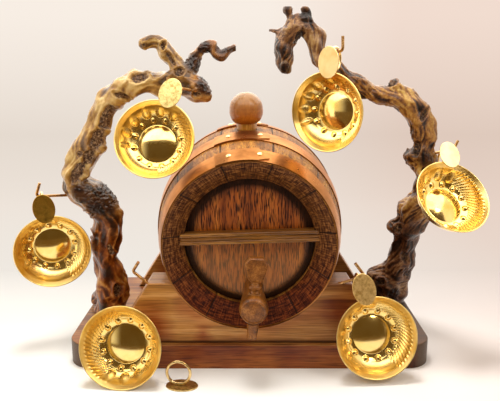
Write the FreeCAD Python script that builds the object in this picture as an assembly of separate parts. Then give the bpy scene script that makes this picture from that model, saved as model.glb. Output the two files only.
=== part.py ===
"""Oak cask liquor dispenser on a plank stand, with two vine limbs and six hanging tasting cups.

Millimetres, +Z up.  The origin is the centre of the base board's underside, +X runs to the right
and +Y to the back, so the tap points to -Y.  Every physical piece is one solid in parts/NODE.step.
"""
import FreeCAD, Part
import math
import os

Vec = FreeCAD.Vector

# ---------------------------------------------------------------- driving dimensions
# cask
cask_length = 226.0
head_end_radius = 91.0       # outside, at the two chimes
belly_radius = 105.4         # outside, at mid length
stave_count = 11
stave_thick = 26.0
cask_lift = 2.3              # belly above the board
cask_overhang = -3.2         # front chime in front of the board's edge
cask_tilt = 4.0              # degrees, back end up so that it drains to the tap
cask_roll = 1.8              # degrees, turned in its cradles
chime_flat = 1.5
chime_bevel_depth = 15.0
chime_bore_radius = 70.0
head_depth = 22.0            # from the chime plane to the head's face
head_thick = 10.0
head_flat_radius = 61.0      # outside this the face is bevelled down to the croze
head_bevel = 3.5
croze_depth = 3.5

# base board
board_width = 394.0
board_depth = cask_length - 2.0
board_thick = 26.5
board_corner = 28.0          # plan radius of the four corners
board_edge = 1.2             # eased top edge

# cradles: two trapezoid plates that stand across the board
cradle_thick = 38.5
cradle_setback = 7.3         # front cradle's face behind the board's front edge
front_cradle_top = 93.5      # height of its top above the table
rear_cradle_top = 104.0
cradle_foot_half = 150.0     # half width where it stands on the board
cradle_slope = 0.636         # run of the slanted edge for each millimetre of height
cradle_edge = 1.0            # chamfer of the front and back outlines
seat_gap = 0.2               # between a hoop and the wood that carries it

# where the cask axis meets the front chime plane
cask_front = -board_depth / 2 - cask_overhang
cask_axis_height = board_thick + belly_radius + cask_lift

# hoops
hoop_thick = 1.2
chime_hoop_width = 27.0
quarter_hoop_start = 57.0
quarter_hoop_width = 31.0
lap_left = 20.0              # degrees of lap, left of the top
lap_right = 14.0
lap_clip = 9.0               # clipped corners of the lap's end
rivet_angles = (-11.0, 8.0)  # degrees from the top, to the right
rivet_radius = 2.9
rivet_height = 1.5
rivet_shank = 1.4
rivet_lift = 0.06             # a flat-bottomed head on a round hoop

# crossbar on the front head
bar_height = 13.0
bar_depth = 10.5
bar_rise = 6.0               # centre above the cask axis
bar_bead = 2.2
bar_end_gap = 0.45           # its ends are scribed to the bore and bevel of the chime

# bung
bung_hole_top = 11.6         # radius at the outside of the stave
bung_hole_foot = 10.4        # radius at its inside
bung_fit = 0.05              # radial clearance of plug to hole
plug_proud = 7.1
plug_past = 3.0              # below the stave
knob_radius = 19.3
knob_foot_radius = 13.0
knob_drop = 15.9             # from the knob's centre to its flat foot
knob_peg_radius = 4.0
knob_peg_length = 14.0

# tap: everything is measured from the cask axis and from the chime plane outwards
tap_drop = 53.0
tap_turn = 5.2               # degrees, key leaning to the right of the cask's own upright
tap_side = 2.5
tap_reach = 44.0             # front disc in front of the chime plane
tap_bulge = 14.6
tap_disc_radius = 12.6
tap_shank_radius = 10.5
tap_tenon_radius = 9.2
tap_tenon_past = 4.0         # inside the head
tap_bore = 3.2
key_reach = 26.5             # key axis in front of the chime plane
key_top_radius = 5.4
key_foot_radius = 4.6
liner_wall = 1.4             # cork liner round the key
key_fit = 0.05
key_foot_past = 4.0
key_neck_height = 4.5
key_land = 0.8               # straight band where the key leaves the barrel
key_bead_radius = 6.8
key_bead_height = 3.8
paddle_foot = 5.0            # paddle's lower edge above the bead
paddle_height = 26.0
paddle_width = 24.0
paddle_waist = 15.0
paddle_thick = 8.0
paddle_clip = 5.0
paddle_edge = 1.2
spout_reach = 37.2
spout_radius = 6.0
spout_mouth_radius = 4.8
spout_tenon_radius = 5.0     # glued into the underside and pared to clear the cork
spout_collar_height = 5.0    # straight collar below the barrel
spout_bore = 2.8
spout_length = 31.0          # below the tap's axis

# tasting cups
cup_radius = 42.5
cup_depth = 24.0
cup_wall = 1.0
cup_band = 6.0               # plain flared band below the rim, along the axis
cup_band_foot = cup_radius - 3.9
cup_floor_radius = 27.5
cup_dome_radius = 19.4
cup_dome_height = 5.5
ring_radius = 12.0           # finger ring, to the middle of its wire
ring_wire = 1.5              # wire radius
ring_out = cup_radius + 12.3  # ring centre from the cup's axis
plate_long = 33.0
plate_wide = 24.0
plate_thick = 1.3
plate_out = cup_radius + 9.0  # plate centre from the cup's axis
solder_bite = 0.35           # how far a soldered ring is filed flat against its neighbour

# hooks
hook_wire = 1.6              # wire radius
hook_bend = 3.5
hook_play = 0.9              # wire to the inside of a hanging ring
hook_hole_fit = 0.02

# screws, driven up from below
screw_radius = 2.5
screw_head_radius = 4.8
screw_head_height = 3.0
screw_sink = 0.8             # head below the board's underside
screw_fit = 0.03
cradle_screw_x = 95.0
cradle_screw_bite = 22.0
vine_screw_bite = 30.0


# ---------------------------------------------------------------- small helpers
def save(shape, node):
    """Write one node as its own STEP file."""
    solids = shape.Solids
    print(f"{node:28s} solids {len(solids)}  volume {shape.Volume:12.1f}  valid {shape.isValid()}")
    shape.exportStep(f"parts/{node}.step")


def face_of(edges):
    """Planar face inside a closed chain of edges."""
    return Part.Face(Part.Wire(edges))


def polygon(points):
    """Planar face inside straight edges."""
    return Part.Face(Part.makePolygon(points + [points[0]]))


def arc(a, b, c):
    """Edge of the circle through three points."""
    return Part.Arc(a, b, c).toShape()


def line(a, b):
    return Part.makeLine(a, b)


def rod(start, end, radius):
    """Round bar between two points."""
    return Part.makeCylinder(radius, (end - start).Length, start, end - start)


def lathe(face, axis_point=Vec(0, 0, 0), axis=Vec(0, 0, 1), angle=360.0):
    """Turned solid."""
    return face.revolve(axis_point, axis, angle)


def polar(angle, length=1.0):
    """Vector of the cask's cross-section: 0 degrees to the right, 90 up."""
    return Vec(length * math.cos(math.radians(angle)), 0, length * math.sin(math.radians(angle)))


# ---------------------------------------------------------------- cask frame
# Inside the cask functions the cask lies along +Y, with its front chime plane at y = 0.
cask_place = FreeCAD.Placement(
    Vec(0, cask_front, cask_axis_height),
    FreeCAD.Rotation(Vec(1, 0, 0), cask_tilt).multiply(FreeCAD.Rotation(Vec(0, 1, 0), -cask_roll)))


def to_world(shape):
    """Take a shape from the cask's frame to the stand's."""
    return shape.transformed(cask_place.toMatrix(), copy=True)


# A stave's outside is an arc through the two chimes and the belly.
belly_rise = belly_radius - head_end_radius
bow_radius = (belly_rise ** 2 + (cask_length / 2) ** 2) / (2 * belly_rise)
bow_centre = Vec(belly_radius - bow_radius, cask_length / 2, 0)


def bow(y, out=0.0):
    """Radius of the cask at y, on a surface that lies `out` outside the staves."""
    return bow_centre.x + math.sqrt((bow_radius + out) ** 2 - (y - bow_centre.y) ** 2)


def on_bow(y, out=0.0):
    return Vec(bow(y, out), y, 0)


def bow_arc(y_start, y_end, out=0.0):
    return arc(on_bow(y_start, out), on_bow((y_start + y_end) / 2, out), on_bow(y_end, out))


cask_axis = Vec(0, -1, 0)    # turning about it goes from the right side up over the top


def stave_profile():
    """Section of a stave: bowed skins, bevelled chimes and a croze groove for each head."""
    end = cask_length
    rim_radius = chime_bore_radius + croze_depth
    bevel_run = (chime_bore_radius - head_flat_radius) / (rim_radius - head_flat_radius)
    lip = head_depth + head_bevel * bevel_run
    rim = head_depth + head_bevel
    back = head_depth + head_thick
    inner_start = Vec(bow(back, -stave_thick), back, 0)
    inner_end = Vec(bow(back, -stave_thick), end - back, 0)
    front = [Vec(rim_radius, back, 0), Vec(rim_radius, rim, 0), Vec(chime_bore_radius, lip, 0),
             Vec(chime_bore_radius, chime_bevel_depth, 0), Vec(head_end_radius - chime_flat, 0, 0),
             Vec(head_end_radius, 0, 0)]
    rear = [Vec(p.x, end - p.y, 0) for p in reversed(front)]
    chain = [inner_start] + front
    edges = [line(a, b) for a, b in zip(chain, chain[1:])]
    edges.append(bow_arc(0, end))
    chain = rear + [inner_end]
    edges += [line(a, b) for a, b in zip(chain, chain[1:])]
    edges.append(bow_arc(end - back, back, -stave_thick))
    return face_of(edges)


def bung_cone(grow, start, end):
    """Tapered hole or plug on the cask's local Z at mid length, between two radii from the axis."""
    taper = (bung_hole_top - bung_hole_foot) / stave_thick
    foot = bung_hole_foot + grow + taper * (start - (belly_radius - stave_thick))
    top = bung_hole_foot + grow + taper * (end - (belly_radius - stave_thick))
    return Part.makeCone(foot, top, end - start, Vec(0, cask_length / 2, start), Vec(0, 0, 1))


def make_staves():
    """Eleven staves turned from one profile; the one on top has the bung hole."""
    profile = stave_profile()
    step = 360.0 / stave_count
    hole = bung_cone(0.0, belly_radius - stave_thick - 5, belly_radius + 5)
    for number in range(stave_count):
        start = 90.0 - step / 2 + number * step
        blank = profile.copy()
        blank.rotate(Vec(0, 0, 0), cask_axis, start)
        stave = lathe(blank, axis=cask_axis, angle=step)
        if number == 0:
            stave = stave.cut(hole)
        save(to_world(stave), f"stave_{number + 1:02d}")


def head_blank():
    """Round head with its face bevelled down to the croze."""
    rim_radius = chime_bore_radius + croze_depth
    points = [Vec(0, head_depth, 0), Vec(head_flat_radius, head_depth, 0),
              Vec(rim_radius, head_depth + head_bevel, 0), Vec(rim_radius, head_depth + head_thick, 0),
              Vec(0, head_depth + head_thick, 0)]
    return lathe(polygon(points), axis=cask_axis)


def make_heads():
    front = head_blank().cut(tap_tenon())
    save(to_world(front), "front_head")
    rear = head_blank().mirror(Vec(0, cask_length / 2, 0), Vec(0, 1, 0))
    save(to_world(rear), "rear_head")


def make_crossbar():
    """Moulded bar across the front head: a bead along each edge and a hollow between them."""
    half = bar_height / 2
    face_y = head_depth - bar_depth
    hollow = face_y + bar_bead * 0.7
    inner = half - 2 * bar_bead
    at = lambda y, z: Vec(0, y, z + bar_rise)
    section = face_of([
        line(at(head_depth, -half), at(face_y + bar_bead, -half)),
        arc(at(face_y + bar_bead, -half), at(face_y, -half + bar_bead), at(face_y + bar_bead, -inner)),
        line(at(face_y + bar_bead, -inner), at(hollow, -inner + 0.8)),
        arc(at(hollow, -inner + 0.8), at(hollow - 0.6, 0), at(hollow, inner - 0.8)),
        line(at(hollow, inner - 0.8), at(face_y + bar_bead, inner)),
        arc(at(face_y + bar_bead, inner), at(face_y, half - bar_bead), at(face_y + bar_bead, half)),
        line(at(face_y + bar_bead, half), at(head_depth, half)),
        line(at(head_depth, half), at(head_depth, -half))])
    reach = head_end_radius
    section.translate(Vec(-reach, 0, 0))
    bar = section.extrude(Vec(2 * reach, 0, 0))
    bore = chime_bore_radius - bar_end_gap
    mouth = head_end_radius - chime_flat - bar_end_gap
    room = lathe(polygon([Vec(0, 0, 0), Vec(mouth, 0, 0), Vec(bore, chime_bevel_depth, 0),
                          Vec(bore, 2 * head_depth, 0), Vec(0, 2 * head_depth, 0)]), axis=cask_axis)
    save(to_world(bar.common(room)), "head_crossbar")


def band(y_start, y_end, angle_start, angle, layer):
    """Strip of hoop metal; layer 0 lies on the staves, layer 1 on top of layer 0."""
    low = layer * hoop_thick
    high = low + hoop_thick
    section = face_of([bow_arc(y_start, y_end, low), line(on_bow(y_end, low), on_bow(y_end, high)),
                       bow_arc(y_end, y_start, high), line(on_bow(y_start, high), on_bow(y_start, low))])
    section.rotate(Vec(0, 0, 0), cask_axis, angle_start)
    return lathe(section, axis=cask_axis, angle=angle)


def on_hoop(shape, y, angle):
    """Stand a shape that is drawn on +Z on the skin of the cask, `angle` to the right of the top."""
    lean = math.degrees(math.atan2(y - bow_centre.y, bow(y) - bow_centre.x))
    shape.rotate(Vec(0, 0, 0), Vec(1, 0, 0), -lean)
    shape.translate(Vec(0, y, bow(y)))
    shape.rotate(Vec(0, 0, 0), cask_axis, -angle)
    return shape


def rivet_at(y, angle):
    """Domed rivet through both layers of a lap."""
    seat = 2 * hoop_thick + rivet_lift
    ball = (rivet_radius ** 2 + rivet_height ** 2) / (2 * rivet_height)
    half = rivet_radius / 2
    crown = seat + rivet_height - ball
    profile = face_of([
        line(Vec(0, 0, rivet_lift), Vec(rivet_shank, 0, rivet_lift)),
        line(Vec(rivet_shank, 0, rivet_lift), Vec(rivet_shank, 0, seat)),
        line(Vec(rivet_shank, 0, seat), Vec(rivet_radius, 0, seat)),
        arc(Vec(rivet_radius, 0, seat), Vec(half, 0, crown + math.sqrt(ball ** 2 - half ** 2)),
            Vec(0, 0, seat + rivet_height)),
        line(Vec(0, 0, seat + rivet_height), Vec(0, 0, rivet_lift))])
    return on_hoop(lathe(profile), y, angle)


def rivet_hole(y, angle):
    return on_hoop(Part.makeCylinder(rivet_shank, 8, Vec(0, 0, -2)), y, angle)


def make_hoop(name, y_start, y_end, flip):
    """Closed hoop with a riveted lap on top, its outer end clipped at both corners."""
    hoop = band(y_start, y_end, 0, 360, 0)
    lap = band(y_start, y_end, 90 - lap_right, lap_left + lap_right, 1)
    tip = polar(90 - lap_right, belly_radius)
    for y_edge, side in ((y_start, 1), (y_end, -1)):
        corner = Vec(tip.x, y_edge, 0)
        wedge = polygon([corner + Vec(8, -side * 6, 0), corner + Vec(8, side * lap_clip, 0),
                         corner + Vec(0.8, side * lap_clip, 0), corner + Vec(-lap_clip * 1.6, 0, 0),
                         corner + Vec(-lap_clip * 1.6, -side * 6, 0)])
        lap = lap.cut(wedge.extrude(Vec(0, 0, 2 * belly_radius)))
    hoop = hoop.fuse(lap).removeSplitter()
    middle = (y_start + y_end) / 2
    for angle in rivet_angles:
        hoop = hoop.cut(rivet_hole(middle, angle))
    rivets = [rivet_at(middle, angle) for angle in rivet_angles]
    if flip:
        centre = Vec(0, cask_length / 2, 0)
        hoop = hoop.mirror(centre, Vec(0, 1, 0))
        rivets = [rivet.mirror(centre, Vec(0, 1, 0)) for rivet in rivets]
    save(to_world(hoop), name)
    return rivets


def make_hoops():
    quarter_end = quarter_hoop_start + quarter_hoop_width
    for side, flip in (("front", False), ("rear", True)):
        rivets = make_hoop(f"{side}_chime_hoop", 0, chime_hoop_width, flip)
        rivets += make_hoop(f"{side}_quarter_hoop", quarter_hoop_start, quarter_end, flip)
        save(to_world(Part.makeCompound(rivets)), f"{side}_hoop_rivets")


def make_bung():
    """Turned knob pegged into a tapered plug."""
    middle = Vec(0, cask_length / 2, 0)
    foot = belly_radius + plug_proud
    centre = foot + knob_drop
    peg = Part.makeCylinder(knob_peg_radius, knob_peg_length, middle + Vec(0, 0, foot - knob_peg_length))
    at = lambda r, z: Vec(r, 0, z)
    half = face_of([
        line(at(0, -knob_drop), at(knob_foot_radius, -knob_drop)),
        arc(at(knob_foot_radius, -knob_drop), at(knob_radius * 0.925, -knob_radius * 0.53),
            at(knob_radius, 0)),
        arc(at(knob_radius, 0), at(knob_radius * math.sqrt(0.5), knob_radius * math.sqrt(0.5)),
            at(0, knob_radius)),
        line(at(0, knob_radius), at(0, -knob_drop))])
    knob = lathe(half)
    knob.translate(middle + Vec(0, 0, centre))
    save(to_world(knob.fuse(peg)), "bung_knob")
    plug = bung_cone(-bung_fit, belly_radius - stave_thick - plug_past, foot).cut(peg)
    save(to_world(plug), "bung_plug")


# ---------------------------------------------------------------- tap
def tap_at(x=0.0, reach=0.0, z=0.0):
    """Point of the tap's frame: on its axis, `reach` in front of the chime plane."""
    return Vec(tap_side + x, -reach, -tap_drop + z)


def tap_to_world(shape):
    """Turn a piece of the tap about the tap's axis, then set it in the cask."""
    shape.rotate(tap_at(), Vec(0, 1, 0), tap_turn)
    return to_world(shape)


def tap_tenon(grow=0.0):
    """Tapered tenon that is driven into the head."""
    back = head_depth + head_thick + tap_tenon_past
    length = head_thick + tap_tenon_past
    return Part.makeCone(tap_tenon_radius - 0.4 + grow, tap_tenon_radius + grow, length,
                         tap_at(reach=-back), Vec(0, -1, 0))


def key_cone(grow, low, high):
    """Tapered plug on the key's axis, between two heights from the tap's axis."""
    span = 2 * tap_bulge
    slope = (key_top_radius - key_foot_radius) / span
    r_low = key_foot_radius + grow + slope * (low + tap_bulge)
    r_high = key_foot_radius + grow + slope * (high + tap_bulge)
    return Part.makeCone(r_low, r_high, high - low, tap_at(reach=key_reach, z=low), Vec(0, 0, 1))


def make_tap():
    at = lambda r, reach: Vec(r, -reach, 0)
    disc = tap_disc_radius
    profile = face_of([
        line(at(0, -head_depth), at(tap_shank_radius, -head_depth)),
        line(at(tap_shank_radius, -head_depth), at(tap_shank_radius + 0.8, 0)),
        arc(at(tap_shank_radius + 0.8, 0), at(tap_bulge - 1.1, 20), at(tap_bulge, 33)),
        arc(at(tap_bulge, 33), at(tap_bulge - 0.5, 39), at(disc + 0.3, tap_reach - 2.4)),
        arc(at(disc + 0.3, tap_reach - 2.4), at(disc + 0.3, tap_reach - 0.9), at(disc - 0.9, tap_reach)),
        line(at(disc - 0.9, tap_reach), at(disc - 2.2, tap_reach - 0.9)),
        line(at(disc - 2.2, tap_reach - 0.9), at(0, tap_reach - 0.5)),
        line(at(0, tap_reach - 0.5), at(0, -head_depth))])
    body = lathe(profile, axis=cask_axis)
    body.translate(tap_at())
    body = body.fuse(tap_tenon())
    back = -(head_depth + head_thick + tap_tenon_past)
    body = body.cut(rod(tap_at(reach=back - 1), tap_at(reach=spout_reach), tap_bore))
    liner = key_cone(liner_wall, -tap_bulge - 2, tap_bulge + 2)
    below = tap_at(reach=spout_reach, z=-spout_length)
    socket = rod(tap_at(reach=spout_reach, z=-tap_bulge * 0.45), below, spout_tenon_radius)
    bore = rod(tap_at(reach=spout_reach), below, spout_bore)
    save(tap_to_world(body.cut(liner).cut(socket).cut(bore)), "tap_body")

    # cork sleeve, trimmed flush with the barrel of the tap
    barrel = lathe(profile, axis=cask_axis)
    barrel.translate(tap_at())
    flow = rod(tap_at(reach=back - 1), tap_at(reach=spout_reach), tap_bore)
    sleeve = liner.common(barrel).cut(key_cone(key_fit, -tap_bulge - 4, tap_bulge + 4)).cut(flow)
    save(tap_to_world(sleeve), "tap_cork_sleeve")

    # turned spout, glued into the underside
    turn = lambda r, z: Vec(r, 0, z)
    collar = -tap_bulge * 0.45
    shoulder = -tap_bulge + 0.4
    spout = lathe(polygon([
        turn(spout_bore, collar), turn(spout_tenon_radius, collar), turn(spout_tenon_radius, shoulder),
        turn(spout_radius, shoulder), turn(spout_radius, shoulder - spout_collar_height),
        turn(spout_mouth_radius, -spout_length), turn(spout_bore, -spout_length)]))
    spout.translate(tap_at(reach=spout_reach))
    save(tap_to_world(spout.cut(barrel_above(barrel, shoulder)).cut(liner)), "tap_spout")


def barrel_above(barrel, shoulder):
    """The part of the tap's barrel that the spout's shoulder is scribed to."""
    ring = rod(tap_at(reach=spout_reach, z=shoulder - 3), tap_at(reach=spout_reach, z=shoulder + 3),
               spout_radius + 2)
    core = rod(tap_at(reach=spout_reach, z=shoulder - 4), tap_at(reach=spout_reach, z=shoulder + 4),
               spout_tenon_radius)
    return barrel.common(ring).cut(core)


def make_key():
    """Key of the tap: tapered plug with a cross bore, neck, bead and a flat paddle."""
    foot = -tap_bulge - key_foot_past
    neck = tap_bulge + key_neck_height
    plug = key_cone(0.0, foot, tap_bulge)
    turn = lambda r, z: Vec(r, 0, z)
    stem = lathe(face_of([
        line(turn(0, tap_bulge), turn(key_top_radius, tap_bulge)),
        line(turn(key_top_radius, tap_bulge), turn(key_top_radius, tap_bulge + key_land)),
        arc(turn(key_top_radius, tap_bulge + key_land),
            turn(key_top_radius - 1.2, tap_bulge + key_neck_height / 2), turn(key_bead_radius - 1.2, neck)),
        arc(turn(key_bead_radius - 1.2, neck), turn(key_bead_radius, neck + key_bead_height / 2),
            turn(key_bead_radius - 1.2, neck + key_bead_height)),
        arc(turn(key_bead_radius - 1.2, neck + key_bead_height),
            turn(key_top_radius - 1.6, neck + key_bead_height + paddle_foot / 2),
            turn(key_top_radius, neck + key_bead_height + paddle_foot)),
        line(turn(key_top_radius, neck + key_bead_height + paddle_foot),
             turn(0, neck + key_bead_height + paddle_foot)),
        line(turn(0, neck + key_bead_height + paddle_foot), turn(0, tap_bulge))]))
    stem.translate(tap_at(reach=key_reach))
    low = neck + key_bead_height + paddle_foot - 1.5
    high = low + paddle_height
    mid = low + paddle_height * 0.72
    half = paddle_width / 2
    waist = paddle_waist / 2
    right = [(waist - 1.8, low), (waist + 0.2, low + 3), (waist + 1.6, low + 7), (half, mid),
             (half - paddle_clip, high)]
    left = [(-x, z) for x, z in reversed(right)]
    outline = polygon([turn(x, z) for x, z in right + left])
    outline.translate(Vec(0, paddle_thick / 2, 0))
    paddle = outline.extrude(Vec(0, -paddle_thick, 0))
    paddle = paddle.makeChamfer(paddle_edge, [edge for edge in paddle.Edges if edge.BoundBox.YLength < 0.01])
    paddle.translate(tap_at(reach=key_reach))
    key = plug.fuse(stem).fuse(paddle).removeSplitter()
    # closed: the cross bore stands across the flow
    across = rod(tap_at(x=-tap_bulge, reach=key_reach), tap_at(x=tap_bulge, reach=key_reach), tap_bore)
    save(tap_to_world(key.cut(across)), "tap_key")


# ---------------------------------------------------------------- stand
def make_board():
    half_x = board_width / 2
    half_y = board_depth / 2
    board = Part.makeBox(board_width, board_depth, board_thick, Vec(-half_x, -half_y, 0))
    upright = [edge for edge in board.Edges if edge.BoundBox.ZLength > board_thick / 2]
    board = board.makeFillet(board_corner, upright)
    rim = [edge for edge in board.Edges if edge.BoundBox.ZMin > board_thick - 0.01]
    board = board.makeFillet(board_edge, rim)
    for x, y in screw_places():
        board = board.cut(screw_hole(x, y, board_thick + 1))
    save(board, "base_board")


def screw(x, y, bite, grow=0.0):
    """Countersunk wood screw standing head down in the board."""
    seat = screw_sink
    neck = seat + screw_head_height
    tip = board_thick + bite
    turn = lambda r, z: Vec(r, 0, z)
    low = seat if grow == 0 else -1.0
    head = screw_head_radius + grow
    shank = screw_radius + grow
    solid = lathe(polygon([turn(0, low), turn(head, low), turn(head, seat + 0.6), turn(shank, neck),
                           turn(shank, tip - 4 + grow), turn(0.3, tip + grow), turn(0, tip + grow)]))
    solid.translate(Vec(x, y, 0))
    return solid


def screw_hole(x, y, bite):
    return screw(x, y, bite, screw_fit)


def cradle_faces():
    """y of the front face of each cradle, with its name and top height."""
    front = -board_depth / 2 + cradle_setback
    rear = board_depth / 2 - cradle_thick
    return (("front_cradle", front, front_cradle_top), ("rear_cradle", rear, rear_cradle_top))


def cradle_screws():
    return [(x, face + cradle_thick / 2) for _, face, _ in cradle_faces()
            for x in (-cradle_screw_x, cradle_screw_x)]


def screw_places():
    return cradle_screws() + vine_screws()


def cask_seat():
    """Solid of the cask and its hoops, with the seat gap round it."""
    out = hoop_thick + seat_gap
    start = -30.0
    end = cask_length + 30.0
    edges = [line(Vec(0, start, 0), on_bow(start, out)), bow_arc(start, end, out),
             line(on_bow(end, out), Vec(0, end, 0)), line(Vec(0, end, 0), Vec(0, start, 0))]
    return to_world(lathe(face_of(edges), axis=cask_axis))


def make_cradles(hooks):
    seat = cask_seat()
    for name, face, top in cradle_faces():
        narrow = cradle_foot_half - cradle_slope * (top - board_thick)
        outline = polygon([Vec(-cradle_foot_half, face, board_thick), Vec(cradle_foot_half, face, board_thick),
                           Vec(narrow, face, top), Vec(-narrow, face, top)])
        cradle = outline.extrude(Vec(0, cradle_thick, 0))
        rim = [edge for edge in cradle.Edges if edge.BoundBox.YLength < 0.01
               and edge.BoundBox.ZMax > board_thick + 1]
        cradle = cradle.makeChamfer(cradle_edge, rim).cut(seat)
        for x, y in cradle_screws():
            cradle = cradle.cut(screw(x, y, cradle_screw_bite, screw_fit))
        if name == "front_cradle":
            cradle = drill(cradle, hooks)
        save(cradle, name)


def make_screws():
    save(Part.makeCompound([screw(x, y, cradle_screw_bite) for x, y in cradle_screws()]), "cradle_screws")
    save(Part.makeCompound([screw(x, y, vine_screw_bite) for x, y in vine_screws()]), "vine_screws")


# ---------------------------------------------------------------- vine limbs
# A limb is a run of stations: x, y, z and the radius of the wood there.
left_trunk = [
    (-172, -10, board_thick, 19.5), (-169, -9, 40, 19), (-166, -10, 54, 18), (-167, -11, 71, 17),
    (-172, -13, 88, 15), (-174, -15, 106, 14.3), (-166, -17, 131, 16.5), (-166, -18, 153, 19.3),
    (-183, -20, 171, 21), (-200, -21, 181, 19.7), (-203, -22, 197, 16.2), (-189, -24, 213, 16),
    (-182, -25, 227, 16), (-175, -25, 247, 12.4), (-167, -25, 266, 13.5), (-156, -25, 282, 14.5),
    (-143, -25, 293, 14), (-125, -24, 302, 14), (-107, -24, 300, 12.8), (-93, -23, 299, 13.3),
    (-78, -22, 304, 14.5), (-67, -22, 311, 12)]
left_knob = [(-82, -22, 307, 12), (-72, -23, 301, 15), (-61, -25, 294, 15.5), (-53, -26, 290, 12.5),
             (-47, -27, 287, 6)]
left_limb_a = [(-72, -22, 308, 11), (-84, -22, 322, 9), (-91, -23, 332, 9.4), (-95, -24, 342, 9.6),
               (-104, -25, 346, 7.7), (-116, -27, 341, 7.4)]
left_limb_b = [(-72, -22, 306, 11), (-64, -20, 317, 8.9), (-61, -19, 329, 6.7), (-56, -18, 337, 6.7),
               (-46, -18, 341, 6.5), (-39, -18, 335, 6), (-31, -18, 329, 5.6), (-24, -18, 335, 5.3),
               (-17, -18, 338, 4.8)]
left_root = [(-166, -10, 48, 14), (-178, -2, 42, 12), (-193, 6, 36, 8)]
right_trunk = [
    (176, 22, board_thick, 20.3), (177, 21, 46, 22.5), (184, 17, 68, 19.5), (187, 12, 85, 16.8),
    (190, 7, 101, 13.2), (189, 0, 122, 15.6), (192, -6, 142, 19.7), (199, -13, 159, 16),
    (204, -30.5, 187, 12.4), (200, -33, 205, 14.2), (193, -29, 220, 16.4), (197, -30, 236, 12.5),
    (194, -31, 250, 14.5), (185, -32, 268, 12.8), (168, -32, 287, 13.3), (147, -32, 285, 9.6),
    (134, -32, 289, 10), (119, -32, 298, 11), (106, -33, 306, 10), (88, -34, 314, 9.8),
    (77, -34, 325, 9.4), (74, -34, 339, 9.7), (70, -34, 355, 9.3), (60, -34, 366, 9.8),
    (49, -34, 362, 10.8), (39, -34, 352, 9.8), (37, -34, 339, 8.2), (35, -34, 325, 7.1),
    (38, -34, 314, 4.9)]
right_lump = [(180, 20, 40, 17), (169, 21, 45, 16.5), (154, 21, 53, 13)]
right_shoulder = [(186, 16, 62, 17), (174, 18, 64, 16), (162, 19, 60, 14), (152, 20, 57, 10)]
right_bulge = [(192, -2, 124, 15), (184, -2, 128, 14), (172, -2, 134, 8.5)]
right_knob = [(198, -28, 220, 15), (192, -28, 218, 14), (184, -28, 216, 10)]
right_crest = [(170, -32, 284, 12), (165, -32, 290, 10), (158, -32, 299, 6)]
right_spur = [(64, -34, 360, 8), (62, -34, 370, 6), (59, -34, 377, 3.4)]
right_stub = [(46, -34, 358, 5), (43, -34, 370, 3), (40.5, -34, 380, 2.7)]
right_peg = [(42, -34, 354, 4.4), (32, -34, 355, 3), (21, -34, 356, 2.7)]
bark_points = 9              # points round each section
bark_swell = 0.085           # how far the bark departs from round


def limb(stations):
    """Solid limb: a B-spline skin whose pole rings stand square to the run, closed by flat ends."""
    points = [Vec(*station[:3]) for station in stations]
    last = len(points) - 1
    side = Vec(0, 1, 0)
    shrink = (2 + math.cos(2 * math.pi / bark_points)) / 3
    poles = []
    for number, point in enumerate(points):
        ahead = points[min(number + 1, last)] - points[max(number - 1, 0)]
        ahead.normalize()
        if number == 0 and abs(point.z - board_thick) < 0.01:
            ahead = Vec(0, 0, 1)
        across = (side - ahead * side.dot(ahead)).normalize()
        up = ahead.cross(across)
        ring = []
        for corner in range(bark_points):
            turn = 2 * math.pi * corner / bark_points
            lobe = math.cos(2 * turn + 0.7 * number) + 0.8 * math.cos(3 * turn - 1.1 * number)
            reach = stations[number][3] * (1 + bark_swell * lobe) / shrink
            ring.append(point + across * (reach * math.cos(turn)) + up * (reach * math.sin(turn)))
        poles.append(ring)
    degree = min(3, last)
    round_knots = list(range(bark_points + 1))
    run_knots = list(range(last - degree + 2))
    run_mults = [degree + 1] + [1] * (len(run_knots) - 2) + [degree + 1]
    skin = Part.BSplineSurface()
    skin.buildFromPolesMultsKnots(poles, run_mults, [1] * len(round_knots), run_knots, round_knots,
                                  False, True, degree, 3)
    bark = skin.toShape()
    ends = [edge for edge in bark.Edges if edge.isClosed()]
    faces = [bark] + [Part.Face(Part.Wire([edge])) for edge in ends]
    shell = Part.Shell(faces)
    shell.sewShape()
    wood = Part.Solid(Part.Shell(shell.Faces))
    if wood.Volume < 0:
        wood.reverse()
    return wood


def vine_screws():
    return [left_trunk[0][:2], right_trunk[0][:2]]


def drill(wood, hooks):
    """Bore the wood for the hooks that are driven into it."""
    for hook in hooks:
        wood = wood.cut(hook)
    return wood


def make_vines(left_holes, right_holes):
    runs = {"vine_left": ([left_trunk, left_knob, left_limb_a, left_limb_b, left_root], left_holes),
            "vine_right": ([right_trunk, right_lump, right_shoulder, right_bulge, right_knob, right_crest,
                            right_spur, right_stub, right_peg], right_holes)}
    under = Part.makeBox(600, 400, 100, Vec(-300, -200, board_thick - 100))
    for name, (parts, holes) in runs.items():
        wood = limb(parts[0])
        for stations in parts[1:]:
            wood = wood.fuse(limb(stations))
        wood = wood.cut(under)
        for x, y in vine_screws():
            wood = wood.cut(screw(x, y, vine_screw_bite, screw_fit))
        save(drill(wood, holes), name)


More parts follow.
